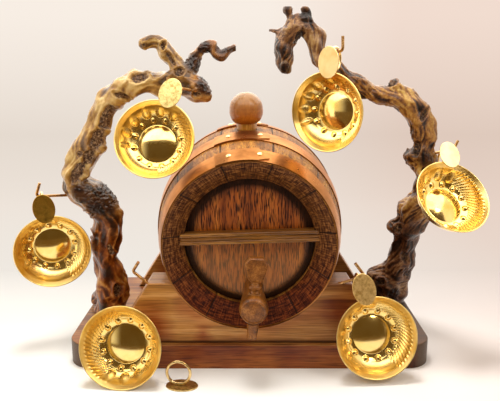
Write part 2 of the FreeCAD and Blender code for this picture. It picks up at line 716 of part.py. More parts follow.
# ---------------------------------------------------------------- tasting cups
# A cup's own frame: origin at the centre of its rim, +Z out of the bowl, +Y towards its handle.
class Cup:
    """One cup: where it is, compass bearing and tilt of its mouth, sideways lean of its handle.

    The place is that of the wire it hangs from or, for a cup that stands, the centre of its rim.
    """

    def __init__(self, name, place, bearing, tilt, lean, hangs=True):
        self.name = name
        b, t, k = (math.radians(value) for value in (bearing, tilt, lean))
        out = Vec(math.sin(b) * math.cos(t), -math.cos(b) * math.cos(t), math.sin(t))
        side = Vec(math.cos(b), math.sin(b), 0)
        up = out.cross(side)
        self.out = out
        self.handle = up * math.cos(k) + side * math.sin(k)
        self.side = self.handle.cross(out)
        level_up = (Vec(0, 0, 1) - self.side * self.side.z).normalize()
        self.hold = Vec(*place)
        self.centre = self.hold
        if hangs:
            ring_centre = self.hold - level_up * (ring_radius - ring_wire - hook_wire - hook_play)
            self.centre = ring_centre - self.handle * ring_out + self.out * ring_depth
        rotation = FreeCAD.Rotation(self.side, self.handle, self.out, "ZXY")
        self.place = FreeCAD.Placement(self.centre, rotation)

    def put(self, shape):
        return shape.transformed(self.place.toMatrix(), copy=True)


ring_depth = ring_radius + ring_wire - solder_bite


def bowl_profile(inset):
    """Half section of the bowl's skin, moved in by `inset`, as a list of edges from axis to rim."""
    floor = -cup_depth + inset
    dome = cup_dome_height
    at = lambda r, z: Vec(r, 0, z)
    lean = inset * 0.9
    return [
        arc(at(0, floor + dome), at(cup_dome_radius * 0.55, floor + dome * 0.72),
            at(cup_dome_radius - lean * 0.4, floor + 0.6)),
        line(at(cup_dome_radius - lean * 0.4, floor + 0.6), at(cup_dome_radius + 0.6, floor)),
        line(at(cup_dome_radius + 0.6, floor), at(cup_floor_radius - lean * 0.5, floor)),
        arc(at(cup_floor_radius - lean * 0.5, floor), at(cup_floor_radius + 7.6 - lean, floor + 7.2),
            at(cup_band_foot - lean, -cup_band)),
        line(at(cup_band_foot - lean, -cup_band), at(cup_radius - lean, 0))]


def bowl_shape():
    outer = bowl_profile(0.0)
    inner = bowl_profile(cup_wall)
    top = line(outer[-1].Vertexes[-1].Point, inner[-1].Vertexes[-1].Point)
    middle = line(inner[0].Vertexes[0].Point, outer[0].Vertexes[0].Point)
    edges = Part.__sortEdges__(outer + [top] + inner + [middle])
    return lathe(face_of(edges))


def bowl_blank():
    """The bowl filled up to its rim plane, to scribe the ring to."""
    outer = bowl_profile(0.0)
    top = Vec(0, 0, 0)
    edges = outer + [line(outer[-1].Vertexes[-1].Point, top), line(top, outer[0].Vertexes[0].Point)]
    return lathe(face_of(Part.__sortEdges__(edges)))


def ring_shape():
    """Finger ring in the plane of the handle, filed to the bowl and to the plate."""
    ring = Part.makeTorus(ring_radius, ring_wire, Vec(0, ring_out, -ring_depth), Vec(1, 0, 0))
    above = Part.makeBox(10, 100, 10, Vec(-5, 0, 0))
    return ring.cut(bowl_blank()).cut(above)


def plate_shape():
    """Oval thumb plate that lies on the ring and on the rim."""
    oval = Part.Ellipse(Vec(0, plate_out, 0), plate_long / 2, plate_wide / 2)
    edge = oval.toShape()
    edge.rotate(Vec(0, plate_out, 0), Vec(0, 0, 1), 90)
    plate = Part.Face(Part.Wire([edge])).extrude(Vec(0, 0, plate_thick))
    rims = [item for item in plate.Edges if item.BoundBox.ZLength < 0.01]
    return plate.makeChamfer(0.35, rims)


board_front = -board_depth / 2
cups = [
    Cup("cup_top_left", (-80, -51.5, 296.5), -1, 20, 18),
    Cup("cup_mid_left", (-232.5, -46.5, 176), 17, -3, -7),
    Cup("cup_top_right", (90, -58.5, 333.5), -35, 0.1, 2),
    Cup("cup_mid_right", (219.5, -33.5, 224.5), 17, 38, 14),
    Cup("cup_low_right", (113, board_front - 2.5, front_cradle_top + 9.5), 5, 14.5, -14)]

# Hooks of the hanging cups.  Each wire runs through its ring on a bearing and with a rise, starts
# `behind` and bends `beyond` the ring, and ends in a leg with a bearing, rise and length of its own.
# Where the bearing is None the wire lies in the upright plane through the cup's weight, so that the
# cup hangs still; the flip turns such a wire end for end.
hook_runs = [
    (None, 10, 38, 8.5, 100, 80, 9, 180),
    (None, 6, 43, 7, 0, 71, 16, 180),
    (None, 2, 34, 11, 100, 84, 15, 0),
    (-8, 10, 34, 9, 20, 62, 12, 0),
    (None, 25, 34, 8, 186, 53, 18, 0)]
empty_hook = [Vec(-109.5, -97, 92), Vec(-124.5, -97, 104.5), Vec(-116.6, -105.7, 117.4)]
hook_embed = 9.0

# the cup that stands on the table by its rim, turned round so that its handle side is down
loose_side = -130.4
loose_ahead = 48.5           # where its rim stands, in front of the board's edge
loose_bearing = -5
loose_tilt = 14.0
loose_lean = -170


def aim(bearing, rise):
    """Unit vector: bearing from +X towards +Y, and rise from level."""
    b, r = math.radians(bearing), math.radians(rise)
    return Vec(math.cos(b) * math.cos(r), math.sin(b) * math.cos(r), math.sin(r))


def hook_shape(root, bend, tip, grow=0.0):
    """Bent wire: straight, one bend, straight."""
    inward = (root - bend).normalize()
    outward = (tip - bend).normalize()
    half = inward.getAngle(outward) / 2
    back = hook_bend / math.tan(half)
    start = bend + inward * back
    end = bend + outward * back
    middle_way = (inward + outward).normalize()
    crown = bend + middle_way * (hook_bend / math.sin(half) - hook_bend)
    path = Part.Wire([line(root, start), arc(start, crown, end), line(end, tip)])
    ring = Part.Wire([Part.Circle(root, start - root, hook_wire + grow).toShape()])
    return path.makePipeShell([ring], True, True)


def cup_weight(cup):
    """Centre of mass of a cup with its ring and plate, in the stand's frame."""
    pieces = [shape.Solids[0] for shape in (bowl_shape(), ring_shape(), plate_shape())]
    total = sum(piece.Volume for piece in pieces)
    local = Vec(0, 0, 0)
    for piece in pieces:
        local = local + piece.CenterOfMass * (piece.Volume / total)
    return cup.place.multVec(local)


def hook_points(cup, run):
    bearing, rise, behind, beyond, tip_bearing, tip_rise, tip_length, flip = run
    hold = cup.hold
    if bearing is None:
        pull = cup_weight(cup) - hold
        bearing = math.degrees(math.atan2(pull.y, pull.x))
        if pull.x < 0:
            bearing = bearing + 180
    way = aim(bearing + flip, rise)
    bend = hold + way * beyond
    print(f"{cup.name}: hinge at {hold}, wire along {way}")
    return hold - way * behind, bend, bend + aim(tip_bearing, tip_rise) * tip_length


def make_hooks():
    """All hooks; returns their holes by the wood that holds them."""
    holes = {}
    for cup, run in zip(cups, hook_runs):
        root, bend, tip = hook_points(cup, run)
        node = cup.name.replace("cup", "hook")
        save(hook_shape(root, bend, tip), node)
        holes[node] = hook_shape(root, bend, tip, hook_hole_fit)
    root, bend, tip = empty_hook
    root = root + (root - bend).normalize() * hook_embed
    save(hook_shape(root, bend, tip), "hook_low_left")
    holes["hook_low_left"] = hook_shape(root, bend, tip, hook_hole_fit)
    return holes


def standing_cup():
    """The loose cup, tipped back on the lowest point of its rim."""
    tilt = math.radians(loose_tilt)
    stands_at = board_front - loose_ahead
    rim_centre = (loose_side, stands_at + cup_radius * math.sin(tilt), cup_radius * math.cos(tilt))
    return Cup("cup_loose", rim_centre, loose_bearing, loose_tilt, loose_lean, False)


def make_cups():
    bowl = bowl_shape()
    ring = ring_shape()
    plate = plate_shape()
    loose = standing_cup()
    print(f"cup_loose: rim centre at {loose.centre}")
    for cup in cups + [loose]:
        save(cup.put(bowl), f"{cup.name}_bowl")
        if cup is not loose:
            save(cup.put(ring), f"{cup.name}_ring")
            save(cup.put(plate), f"{cup.name}_plate")
    # the handle that came off it lies on the table, ring up
    turned = FreeCAD.Placement(
        Vec(-68.8, board_front - 38.0, plate_thick),
        FreeCAD.Rotation(Vec(0, 0, 1), 84).multiply(FreeCAD.Rotation(Vec(0, 1, 0), 180)))
    matrix = turned.multiply(FreeCAD.Placement(Vec(0, -plate_out, 0), FreeCAD.Rotation())).toMatrix()
    save(ring.transformed(matrix, copy=True), "loose_handle_ring")
    save(plate.transformed(matrix, copy=True), "loose_handle_plate")


# ---------------------------------------------------------------- build
os.makedirs("parts", exist_ok=True)
holes = make_hooks()
make_board()
make_cradles([holes["hook_low_left"], holes["hook_low_right"]])
make_screws()
make_staves()
make_heads()
make_crossbar()
make_hoops()
make_bung()
make_tap()
make_key()
make_vines([holes["hook_top_left"], holes["hook_mid_left"]],
           [holes["hook_top_right"], holes["hook_mid_right"]])
make_cups()
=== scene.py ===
# %% [markdown]
# # An oak cask that pours from a wooden tap
# The object is a small oak cask on a plank stand. Two vine limbs grow up beside it and carry
# brass tasting cups on bent wire hooks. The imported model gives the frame: every piece that is
# made below takes its place from it, and each one rides on the body that it belongs to.
# Everything is in metres, with +X to the right, +Y to the back and +Z up.

# %% Load the frame
import math

import bmesh
import bpy
import numpy as np
from mathutils import Matrix, Vector, noise


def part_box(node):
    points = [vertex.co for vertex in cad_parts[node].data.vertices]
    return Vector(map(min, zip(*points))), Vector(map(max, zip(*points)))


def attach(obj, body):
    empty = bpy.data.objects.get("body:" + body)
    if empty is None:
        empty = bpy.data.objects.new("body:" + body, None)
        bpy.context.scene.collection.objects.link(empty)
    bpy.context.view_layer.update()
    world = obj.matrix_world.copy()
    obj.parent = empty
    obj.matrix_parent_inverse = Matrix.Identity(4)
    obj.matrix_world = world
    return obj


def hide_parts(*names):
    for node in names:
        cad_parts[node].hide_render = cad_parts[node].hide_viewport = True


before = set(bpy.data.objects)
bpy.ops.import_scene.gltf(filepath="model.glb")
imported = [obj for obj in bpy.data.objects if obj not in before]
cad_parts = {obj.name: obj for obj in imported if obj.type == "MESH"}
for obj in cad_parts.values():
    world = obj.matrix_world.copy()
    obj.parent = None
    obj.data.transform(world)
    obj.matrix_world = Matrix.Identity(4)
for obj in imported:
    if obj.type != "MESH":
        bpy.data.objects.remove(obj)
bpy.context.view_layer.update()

MM = 0.001

# %% [markdown]
# ## Two helpers for materials
# Hex colours are what a designer reads off a colour card. They are sRGB, and the shader wants
# linear light, so one function turns them. Another adds a node with its settings and its links,
# which keeps each material down to a list of what feeds what.


# %% Colour and node helpers
def colour(code):
    """Linear RGBA of an sRGB hex colour."""
    parts = [int(code[i:i + 2], 16) / 255 for i in (1, 3, 5)]
    return [p / 12.92 if p <= 0.04045 else ((p + 0.055) / 1.055) ** 2.4 for p in parts] + [1.0]


def add(tree, kind, inputs=None, stops=None, **settings):
    """Add a node. An input that is a (node, output) pair is linked, any other value is set."""
    item = tree.nodes.new(kind)
    for key, value in settings.items():
        setattr(item, key, value)
    for key, value in (inputs or {}).items():
        if isinstance(value, tuple) and isinstance(value[0], bpy.types.Node):
            tree.links.new(value[0].outputs[value[1]], item.inputs[key])
        else:
            item.inputs[key].default_value = value
    if stops:
        while len(item.color_ramp.elements) < len(stops):
            item.color_ramp.elements.new(1.0)
        for element, (place, value) in zip(item.color_ramp.elements, stops):
            element.position = place
            element.color = value if isinstance(value, (list, tuple)) else [value] * 3 + [1.0]
    return item


def new_material(name):
    """An empty material with its output and a Principled shader."""
    material = bpy.data.materials.new(name)
    material.use_nodes = True
    tree = material.node_tree
    tree.nodes.clear()
    out = tree.nodes.new("ShaderNodeOutputMaterial")
    shader = tree.nodes.new("ShaderNodeBsdfPrincipled")
    tree.links.new(shader.outputs[0], out.inputs[0])
    return material, tree, shader


def feed(tree, source, shader, name):
    """Link a node's output to one of the shader's inputs."""
    tree.links.new(source[0].outputs[source[1]], shader.inputs[name])


print("middle grey in linear light:", round(colour("#808080")[0], 3))


# %% [markdown]
# ## Camera
# A plain lens a little under a metre in front of the cask, looking slightly down on it. A lens
# could be given as a field of view. Here it is worked out from a focal length in pixels, because
# that ties it to the picture's width.

# %% Camera
FRAME_WIDTH, FOCAL_PIXELS = 500, 632.72
SENSOR_WIDTH = 36.0
EYE_PLACE, LOOK_DOWN = (0.0004, -0.7403, 0.3193), 12.07
eye = bpy.data.objects.new("camera", bpy.data.cameras.new("camera"))
bpy.context.scene.collection.objects.link(eye)
eye.location = EYE_PLACE
eye.rotation_euler = (math.radians(90 - LOOK_DOWN), 0, 0)
eye.data.sensor_fit = "HORIZONTAL"
eye.data.sensor_width = SENSOR_WIDTH
eye.data.lens = SENSOR_WIDTH * FOCAL_PIXELS / FRAME_WIDTH
eye.data.clip_start = 0.01
bpy.context.scene.camera = eye
bpy.context.scene.view_settings.view_transform = "Standard"
print("lens", round(eye.data.lens, 2), "mm")

# %% [markdown]
# ## Floor, backdrop and lights
# A sweep of matt paper that is flat under the object and curves up behind it. Seamless paper takes soft
# shadows and shows no shine. A plain floor and a wall would do, but their corner would draw a line behind the
# cask. Painted shade makes the paper a touch greyer at the bend and a touch darker and pinker to the right.
# The two helpers below make a mesh from points and turn modifiers into plain geometry.


# %% Mesh helpers
def mesh_piece(name, points, faces, smooth=True, merge=0.0):
    """A mesh object from points in metres, with its normals turned outwards."""
    data = bpy.data.meshes.new(name)
    data.from_pydata([tuple(p) for p in points], [], [tuple(f) for f in faces])
    shape = bmesh.new()
    shape.from_mesh(data)
    if merge:
        bmesh.ops.remove_doubles(shape, verts=shape.verts, dist=merge)
    bmesh.ops.recalc_face_normals(shape, faces=shape.faces)
    shape.to_mesh(data)
    shape.free()
    data.polygons.foreach_set("use_smooth", [smooth] * len(data.polygons))
    piece = bpy.data.objects.new(name, data)
    bpy.context.scene.collection.objects.link(piece)
    return piece


def finished(piece, name, drop=()):
    """The piece with its modifiers worked out, as a plain mesh at the origin."""
    graph = bpy.context.evaluated_depsgraph_get()
    data = bpy.data.meshes.new_from_object(piece.evaluated_get(graph))
    data.transform(piece.matrix_world)
    result = bpy.data.objects.new(name, data)
    bpy.context.scene.collection.objects.link(result)
    for other in (piece, *drop):
        bpy.data.objects.remove(other)
    return result


print("meshes are built in metres, so a millimetre is", MM)

# %% Floor and backdrop
SWEEP_FRONT, SWEEP_BEND, SWEEP_RADIUS, SWEEP_TOP, SWEEP_HALF = -3.0, 0.75, 0.5, 2.6, 3.0
BEND_STEPS = 12
line = [(SWEEP_FRONT, 0.0), (SWEEP_BEND, 0.0)]
for step in range(1, BEND_STEPS + 1):
    turn = math.pi / 2 * step / BEND_STEPS
    line.append((SWEEP_BEND + SWEEP_RADIUS * math.sin(turn), SWEEP_RADIUS * (1 - math.cos(turn))))
line.append((SWEEP_BEND + SWEEP_RADIUS, SWEEP_TOP))
points = [(x, y, z) for y, z in line for x in (-SWEEP_HALF, SWEEP_HALF)]
faces = [(2 * i, 2 * i + 1, 2 * i + 3, 2 * i + 2) for i in range(len(line) - 1)]
sweep = mesh_piece("studio_sweep", points, faces)
print("sweep faces", len(sweep.data.polygons))

# %% [markdown]
# ### What the paper shows
# Near the object the paper is lit like anything else, so it keeps the shadow. Farther back, what
# the camera sees is an even glow of the paper's own colour, which gives a pale ground without more
# light on the wood. The Light Path node tells the two apart. Polished brass shows whatever stands
# round it, so past the table's edge a reflection sees the brown of the room.

# %% Matt paper
TABLE_EDGE = -0.32
paper, tree, shader = new_material("matt_paper_sweep")
path = add(tree, "ShaderNodeLightPath")
seen = add(tree, "ShaderNodeMath", {0: (path, "Is Camera Ray"), 1: (path, "Is Glossy Ray")},
           operation="MAXIMUM")
place = add(tree, "ShaderNodeTexCoord")
split = add(tree, "ShaderNodeSeparateXYZ", {0: (place, "Object")})
far = add(tree, "ShaderNodeMapRange", {0: (split, "Y"), 1: -0.1, 2: 0.22, 3: 0.0, 4: 1.0})
table = add(tree, "ShaderNodeMath", {0: (split, "Y"), 1: TABLE_EDGE}, operation="LESS_THAN")
past_edge = add(tree, "ShaderNodeMath", {0: (table, 0), 1: (path, "Is Glossy Ray")}, operation="MULTIPLY")
pale = add(tree, "ShaderNodeMath", {0: (seen, 0), 1: (far, 0)}, operation="MULTIPLY")
lift = add(tree, "ShaderNodeMath", {0: (pale, 0), 1: (past_edge, 0)}, operation="MAXIMUM")
along = add(tree, "ShaderNodeMath", {0: (split, "Y"), 1: (split, "Z")}, operation="ADD")
span = add(tree, "ShaderNodeMapRange", {0: (along, 0), 1: 0.0, 2: 2.0})
# painted shade: the glow is greyer round the bend of the sweep
glow_with_painted_shade = add(tree, "ShaderNodeValToRGB", {0: (span, 0)}, stops=[
    (0.0, colour("#F0EBE3")), (0.35, colour("#EEE4DA")), (0.6, colour("#E5DACF")), (0.86, colour("#F8EEE4"))])
# painted shade: a mask that darkens the paper and turns it pinker towards the right
right_shade_mask = add(tree, "ShaderNodeMapRange", {0: (split, "X"), 1: 0.05, 2: 0.45, 3: 0.0, 4: 1.0})
pinker = add(tree, "ShaderNodeMix", {0: (right_shade_mask, 0), 6: (glow_with_painted_shade, 0), 7: colour("#F8ECE8")},
             data_type="RGBA", blend_type="MULTIPLY")
beyond = add(tree, "ShaderNodeMix", {0: (past_edge, 0), 6: (pinker, 2), 7: colour("#54422A")},
             data_type="RGBA")
# painted shade: the lit paper's own colour is darker and pinker to the right too
sheet = add(tree, "ShaderNodeMix", {0: (right_shade_mask, 0), 6: colour("#ECEEF0"), 7: colour("#DFD0CF")},
            data_type="RGBA")
feed(tree, (sheet, 2), shader, "Base Color")
shader.inputs["Roughness"].default_value = 0.9
shader.inputs["Specular IOR Level"].default_value = 0.1
bright = add(tree, "ShaderNodeMath", {0: (path, "Is Glossy Ray"), 1: 0.8, 2: 1.0}, operation="MULTIPLY_ADD")
glow = add(tree, "ShaderNodeEmission", {"Color": (beyond, 2), "Strength": (bright, 0)})
both = add(tree, "ShaderNodeMixShader", {0: (lift, 0), 1: (shader, 0), 2: (glow, 0)})
tree.links.new(both.outputs[0], tree.nodes["Material Output"].inputs[0])
sweep.data.materials.append(paper)
print("sweep wears", paper.name)

# %% [markdown]
# ### The room and the light tent
# What lights the wood is a soft, warm and even room. What the polished cups mirror is set apart
# from it: a white light tent, open at the front, and through the opening the dark of the room. Such
# a tent is how polished metal is shown, because it gives broad calm reflections with one dark
# edge. It could be a picture wrapped round the scene, but three glowing cloths are simpler to move.

# %% Room
world = bpy.data.worlds.new("studio_room")
bpy.context.scene.world = world
world.use_nodes = True
tree = world.node_tree
tree.nodes.clear()
path = add(tree, "ShaderNodeLightPath")
place = add(tree, "ShaderNodeTexCoord")
split = add(tree, "ShaderNodeSeparateXYZ", {0: (place, "Generated")})
behind = add(tree, "ShaderNodeMapRange", {0: (split, "Y"), 1: -0.1, 2: 0.3})
front = add(tree, "ShaderNodeMix", {0: (behind, 0), 6: colour("#5E4A2C"), 7: colour("#EDE0D2")},
            data_type="RGBA")
leftward = add(tree, "ShaderNodeMapRange", {0: (split, "X"), 1: -0.5, 2: -0.85},
               interpolation_type="SMOOTHSTEP")
window = add(tree, "ShaderNodeMix", {0: (leftward, 0), 6: (front, 2), 7: colour("#FFF4E0")},
             data_type="RGBA")
room = add(tree, "ShaderNodeBackground", {"Color": (window, 2), "Strength": 1.0})
soft = add(tree, "ShaderNodeBackground", {"Color": colour("#F3EADD"), "Strength": 0.64})
mirror = add(tree, "ShaderNodeMixShader", {0: (path, "Is Glossy Ray"), 1: (soft, 0), 2: (room, 0)})
plain = add(tree, "ShaderNodeBackground", {"Color": colour("#F6EDE4"), "Strength": 1.0})
sky = add(tree, "ShaderNodeMixShader", {0: (path, "Is Camera Ray"), 1: (mirror, 0), 2: (plain, 0)})
add(tree, "ShaderNodeOutputWorld", {0: (sky, 0)})
print("room nodes", len(tree.nodes))


# %% Light tent
def tent_panel(name, corners, code, strength):
    """One glowing cloth of the light tent, which only reflections see."""
    panel = mesh_piece(name, corners, [(0, 1, 2, 3)])
    cloth, tree, shader = new_material(name + "_cloth")
    shine = add(tree, "ShaderNodeEmission", {"Color": colour(code), "Strength": strength})
    tree.nodes.remove(shader)
    tree.links.new(shine.outputs[0], tree.nodes["Material Output"].inputs[0])
    panel.data.materials.append(cloth)
    panel.visible_camera = panel.visible_diffuse = panel.visible_shadow = False


OPENING, TENT_BACK, TENT_HALF, TENT_TOP = TABLE_EDGE, 0.7, 0.44, 0.47
tent_panel("tent_roof", [(-TENT_HALF, OPENING, TENT_TOP), (TENT_HALF, OPENING, TENT_TOP),
           (TENT_HALF, TENT_BACK, TENT_TOP), (-TENT_HALF, TENT_BACK, TENT_TOP)], "#FFFAF0", 3.6)
for hand, x, strength in (("left", -TENT_HALF, 1.9), ("right", TENT_HALF, 1.3)):
    tent_panel("tent_" + hand, [(x, OPENING, 0), (x, TENT_BACK, 0), (x, TENT_BACK, TENT_TOP),
               (x, OPENING, TENT_TOP)], "#FFF0DC", strength)
print("tent", round(2 * TENT_HALF, 2), "m wide and", TENT_TOP, "m high")

# %% [markdown]
# ### Lamps
# Three square soft boxes: a large one on the left, a weak one on the right that also puts a small
# highlight on the brass, and one above that gives the cask its shadow on the board. Point lamps
# would cast hard shadows, so area lamps are used.


# %% Soft boxes
def lamp(name, place, aim, size, watts, tint, mirrored=False):
    """A square soft box that looks at a point, and that polished pieces mirror or not."""
    data = bpy.data.lights.new(name, "AREA")
    data.size = size
    data.energy = watts
    data.color = colour(tint)[:3]
    item = bpy.data.objects.new(name, data)
    item.location = place
    item.rotation_euler = (Vector(aim) - Vector(place)).to_track_quat("-Z", "Y").to_euler()
    item.visible_glossy = mirrored
    bpy.context.scene.collection.objects.link(item)


AIM = (0, 0, 0.18)
lamp("left_soft_box", (-0.85, -0.95, 1.35), AIM, 0.8, 8.5, "#FFF0DC")
lamp("right_soft_box", (0.75, -0.9, 1.2), AIM, 0.25, 4.5, "#FFF0DC", mirrored=True)
lamp("top_soft_box", (-0.1, 0.06, 1.5), AIM, 0.4, 18.0, "#FFF9F0")
print("lamps", len(bpy.data.lights))

# %% [markdown]
# ## The cask's own frame
# The cask lies a little tail-up, so that it drains to the tap, and is turned a touch in its
# cradles. Its pieces could be drawn where they lie, but they are far simpler with the cask's axis
# along +Y and its front end at zero. One matrix then takes them all to the stand.

# %% Cask frame
CASK_LENGTH, CHIME_RADIUS, BELLY_RADIUS = 226 * MM, 91 * MM, 105.4 * MM
STAVE_COUNT, STAVE_THICK = 11, 26 * MM
CASK_PLACE, TAIL_UP, CASK_ROLL = (0, -108.8 * MM, 134.2 * MM), math.radians(4.0), math.radians(-1.8)
cask = (Matrix.Translation(CASK_PLACE) @ Matrix.Rotation(TAIL_UP, 4, "X")
        @ Matrix.Rotation(CASK_ROLL, 4, "Y"))
belly_rise = BELLY_RADIUS - CHIME_RADIUS
BOW_RADIUS = (belly_rise ** 2 + (CASK_LENGTH / 2) ** 2) / (2 * belly_rise)


def bow(y, out=0.0):
    """Radius of the cask's skin at y, moved out by `out`."""
    return BELLY_RADIUS - BOW_RADIUS + math.sqrt((BOW_RADIUS + out) ** 2 - (y - CASK_LENGTH / 2) ** 2)


def turned(profile, steps):
    """Points and faces of a profile of (radius, height) turned full circle about +Z."""
    points, faces = [], []
    rows = len(profile)
    for column in range(steps):
        angle = math.radians(360.0 * column / steps)
        points += [(radius * math.cos(angle), radius * math.sin(angle), height) for radius, height in profile]
        here, there = column * rows, (column + 1) % steps * rows
        faces += [(here + row, here + row + 1, there + row + 1, there + row) for row in range(rows - 1)]
    return points, faces


def to_stand(piece, matrix=cask):
    """Move a finished mesh from its own frame to the stand's."""
    piece.data.transform(matrix)


print("bow radius", round(BOW_RADIUS / MM, 1), "mm")

# %% [markdown]
# ## Wood
# Every timber here is the same recipe with its own colours and scales. Noise that is stretched
# along the grain gives the broad figure, a finer one gives the grain lines, and a third one is
# cut off sharply to leave the open pores that oak shows. The Mapping node turns the pattern so
# that its Y axis runs along the grain. Varnish is the shader's coat. A picture of wood could be
# wrapped on instead, but a pattern in the piece's own space needs no seams and runs through it
# from face to face, as sawn wood does. Oak's pores are about 0.3 mm wide, too fine to show from
# here, so they are drawn 0.8 to 1 mm wide.


# %% Timber recipe
def timber(name, shades, turn=(0, 0, 0), place=(0, 0, 0), figure_mm=16, grain_mm=2.4, pore_mm=0.9,
           stretch=22, pores=0.5, open_up=0.0, rough=0.42, coat=0.12, bump_mm=0.25, swirl=0.5, seed=0.0):
    """Sawn and varnished wood. `shades` runs dark to light, and `turn` lays local Y on the grain."""
    material, tree, shader = new_material(name)
    spot = add(tree, "ShaderNodeTexCoord")
    local = add(tree, "ShaderNodeMapping", {0: (spot, "Object"), 1: place, 2: turn}, vector_type="TEXTURE")
    drawn = add(tree, "ShaderNodeVectorMath", {0: (local, 0), 1: (1, 1 / stretch, 1)}, operation="MULTIPLY")
    figure = add(tree, "ShaderNodeTexNoise", {"Vector": (drawn, 0), "W": seed, "Scale": 1000 / figure_mm,
                 "Detail": 3, "Roughness": 0.55, "Distortion": swirl}, noise_dimensions="4D")
    grain = add(tree, "ShaderNodeTexNoise", {"Vector": (drawn, 0), "W": seed + 3, "Scale": 1000 / grain_mm,
                "Detail": 5, "Roughness": 0.65, "Distortion": 0.2}, noise_dimensions="4D")
    open_pore = add(tree, "ShaderNodeTexNoise", {"Vector": (drawn, 0), "W": seed + 7, "Scale": 1000 / pore_mm,
                    "Detail": 1, "Roughness": 0.5}, noise_dimensions="4D")
    mixed = add(tree, "ShaderNodeMix", {0: 0.45, 2: (figure, 0), 3: (grain, 0)})
    tones = add(tree, "ShaderNodeValToRGB", {0: (mixed, 0)},
                stops=[(0.36, colour(shades[0])), (0.5, colour(shades[1])), (0.64, colour(shades[2]))])
    holes = add(tree, "ShaderNodeMapRange", {0: (open_pore, 0), 1: 0.36 + open_up, 2: 0.46 + open_up,
                3: pores, 4: 0.0})
    wood = add(tree, "ShaderNodeMix", {0: (holes, 0), 6: (tones, 0), 7: colour(shades[3])},
               data_type="RGBA")
    height = add(tree, "ShaderNodeMath", {0: (grain, 0), 1: (holes, 0)}, operation="SUBTRACT")
    relief = add(tree, "ShaderNodeBump", {"Height": (height, 0), "Strength": 0.6, "Distance": bump_mm * MM})
    shader.inputs["Coat Weight"].default_value = coat
    shader.inputs["Coat Roughness"].default_value = 0.1
    shader.inputs["Specular IOR Level"].default_value = 0.22
    shader.inputs["Roughness"].default_value = rough
    feed(tree, (wood, 2), shader, "Base Color")
    feed(tree, (relief, 0), shader, "Normal")
    return material, tree, shader, {"local": local, "wood": wood, "figure": figure, "relief": relief}


def patches(tree, parts, shader, code, size_mm, low, high, amount=1.0, stretch=(1, 1, 1)):
    """Lay a second colour over the wood in soft blotches of about `size_mm`."""
    wide = add(tree, "ShaderNodeVectorMath", {0: (parts["local"], 0), 1: stretch}, operation="MULTIPLY")
    cloud = add(tree, "ShaderNodeTexNoise", {"Vector": (wide, 0), "Scale": 1000 / size_mm, "Detail": 2})
    where = add(tree, "ShaderNodeMapRange", {0: (cloud, 0), 1: low, 2: high, 3: 0.0, 4: amount})
    over = add(tree, "ShaderNodeMix", {0: (where, 0), 6: (parts["wood"], 2), 7: colour(code)},
               data_type="RGBA", blend_type="MULTIPLY")
    feed(tree, (over, 2), shader, "Base Color")
    parts["wood"] = over


ALONG_X = (0, 0, math.pi / 2)
ALONG_Z = (math.pi / 2, 0, 0)
CASK_TURN = (TAIL_UP, CASK_ROLL, 0)
print("the cask's grain is turned by", [round(math.degrees(turn), 1) for turn in CASK_TURN], "degrees")

# %% [markdown]
# ### The base board and the cradles
# Both are planed oak with the grain along their length, under a thin coat that gives the eye a soft sheen and
# no clear reflections. The board is stained darker, and its rounded ends are end grain, which drinks more
# stain and turns a dull grey-brown, deepened with painted shade. Painted shade also makes the front edge
# darker and redder and the right end greyer. The tree finds the ends and the front edge by which way a face
# looks, so no part has to be painted by hand.

# %% Board wood
board_oak, tree, shader, parts = timber("stained_oak_board", ["#5E3410", "#8C5722", "#BC8A4A", "#2E1808"],
    turn=ALONG_X, figure_mm=20, grain_mm=2.2, pore_mm=1.0, stretch=26, pores=0.55, seed=1.0)
patches(tree, parts, shader, "#B4703A", 60, 0.45, 0.62, 0.6)
facing = add(tree, "ShaderNodeNewGeometry")
split = add(tree, "ShaderNodeSeparateXYZ", {0: (facing, "Normal")})
# painted shade: faces that look to the front are darkened and reddened
face_on = add(tree, "ShaderNodeMath", {0: (split, "Y"), 1: -1.0}, operation="MULTIPLY")
front_shade = add(tree, "ShaderNodeMapRange", {0: (face_on, 0), 1: 0.75, 2: 0.95, 3: 0.0, 4: 0.75})
reddish = add(tree, "ShaderNodeMix", {0: (front_shade, 0), 6: (parts["wood"], 2), 7: colour("#C88450")},
              data_type="RGBA", blend_type="MULTIPLY")
# the ends are end grain that drinks more stain, darkened further with painted shade
sideways = add(tree, "ShaderNodeMath", {0: (split, "X")}, operation="ABSOLUTE")
ends = add(tree, "ShaderNodeMapRange", {0: (sideways, 0), 1: 0.3, 2: 0.5, 3: 0.0, 4: 0.9})
here = add(tree, "ShaderNodeTexCoord")
along = add(tree, "ShaderNodeSeparateXYZ", {0: (here, "Object")})
# painted shade: the board darkens and greys towards its right end
right_end_shade = add(tree, "ShaderNodeMapRange", {0: (along, "X"), 1: 0.11, 2: 0.17})
greyer = add(tree, "ShaderNodeMix", {0: (right_end_shade, 0), 6: (reddish, 2), 7: colour("#8E887E")},
             data_type="RGBA", blend_type="MULTIPLY")
butt = add(tree, "ShaderNodeMix", {0: (ends, 0), 6: (greyer, 2), 7: colour("#4C3B2C")}, data_type="RGBA")
feed(tree, (butt, 2), shader, "Base Color")
print(board_oak.name, "nodes", len(tree.nodes))
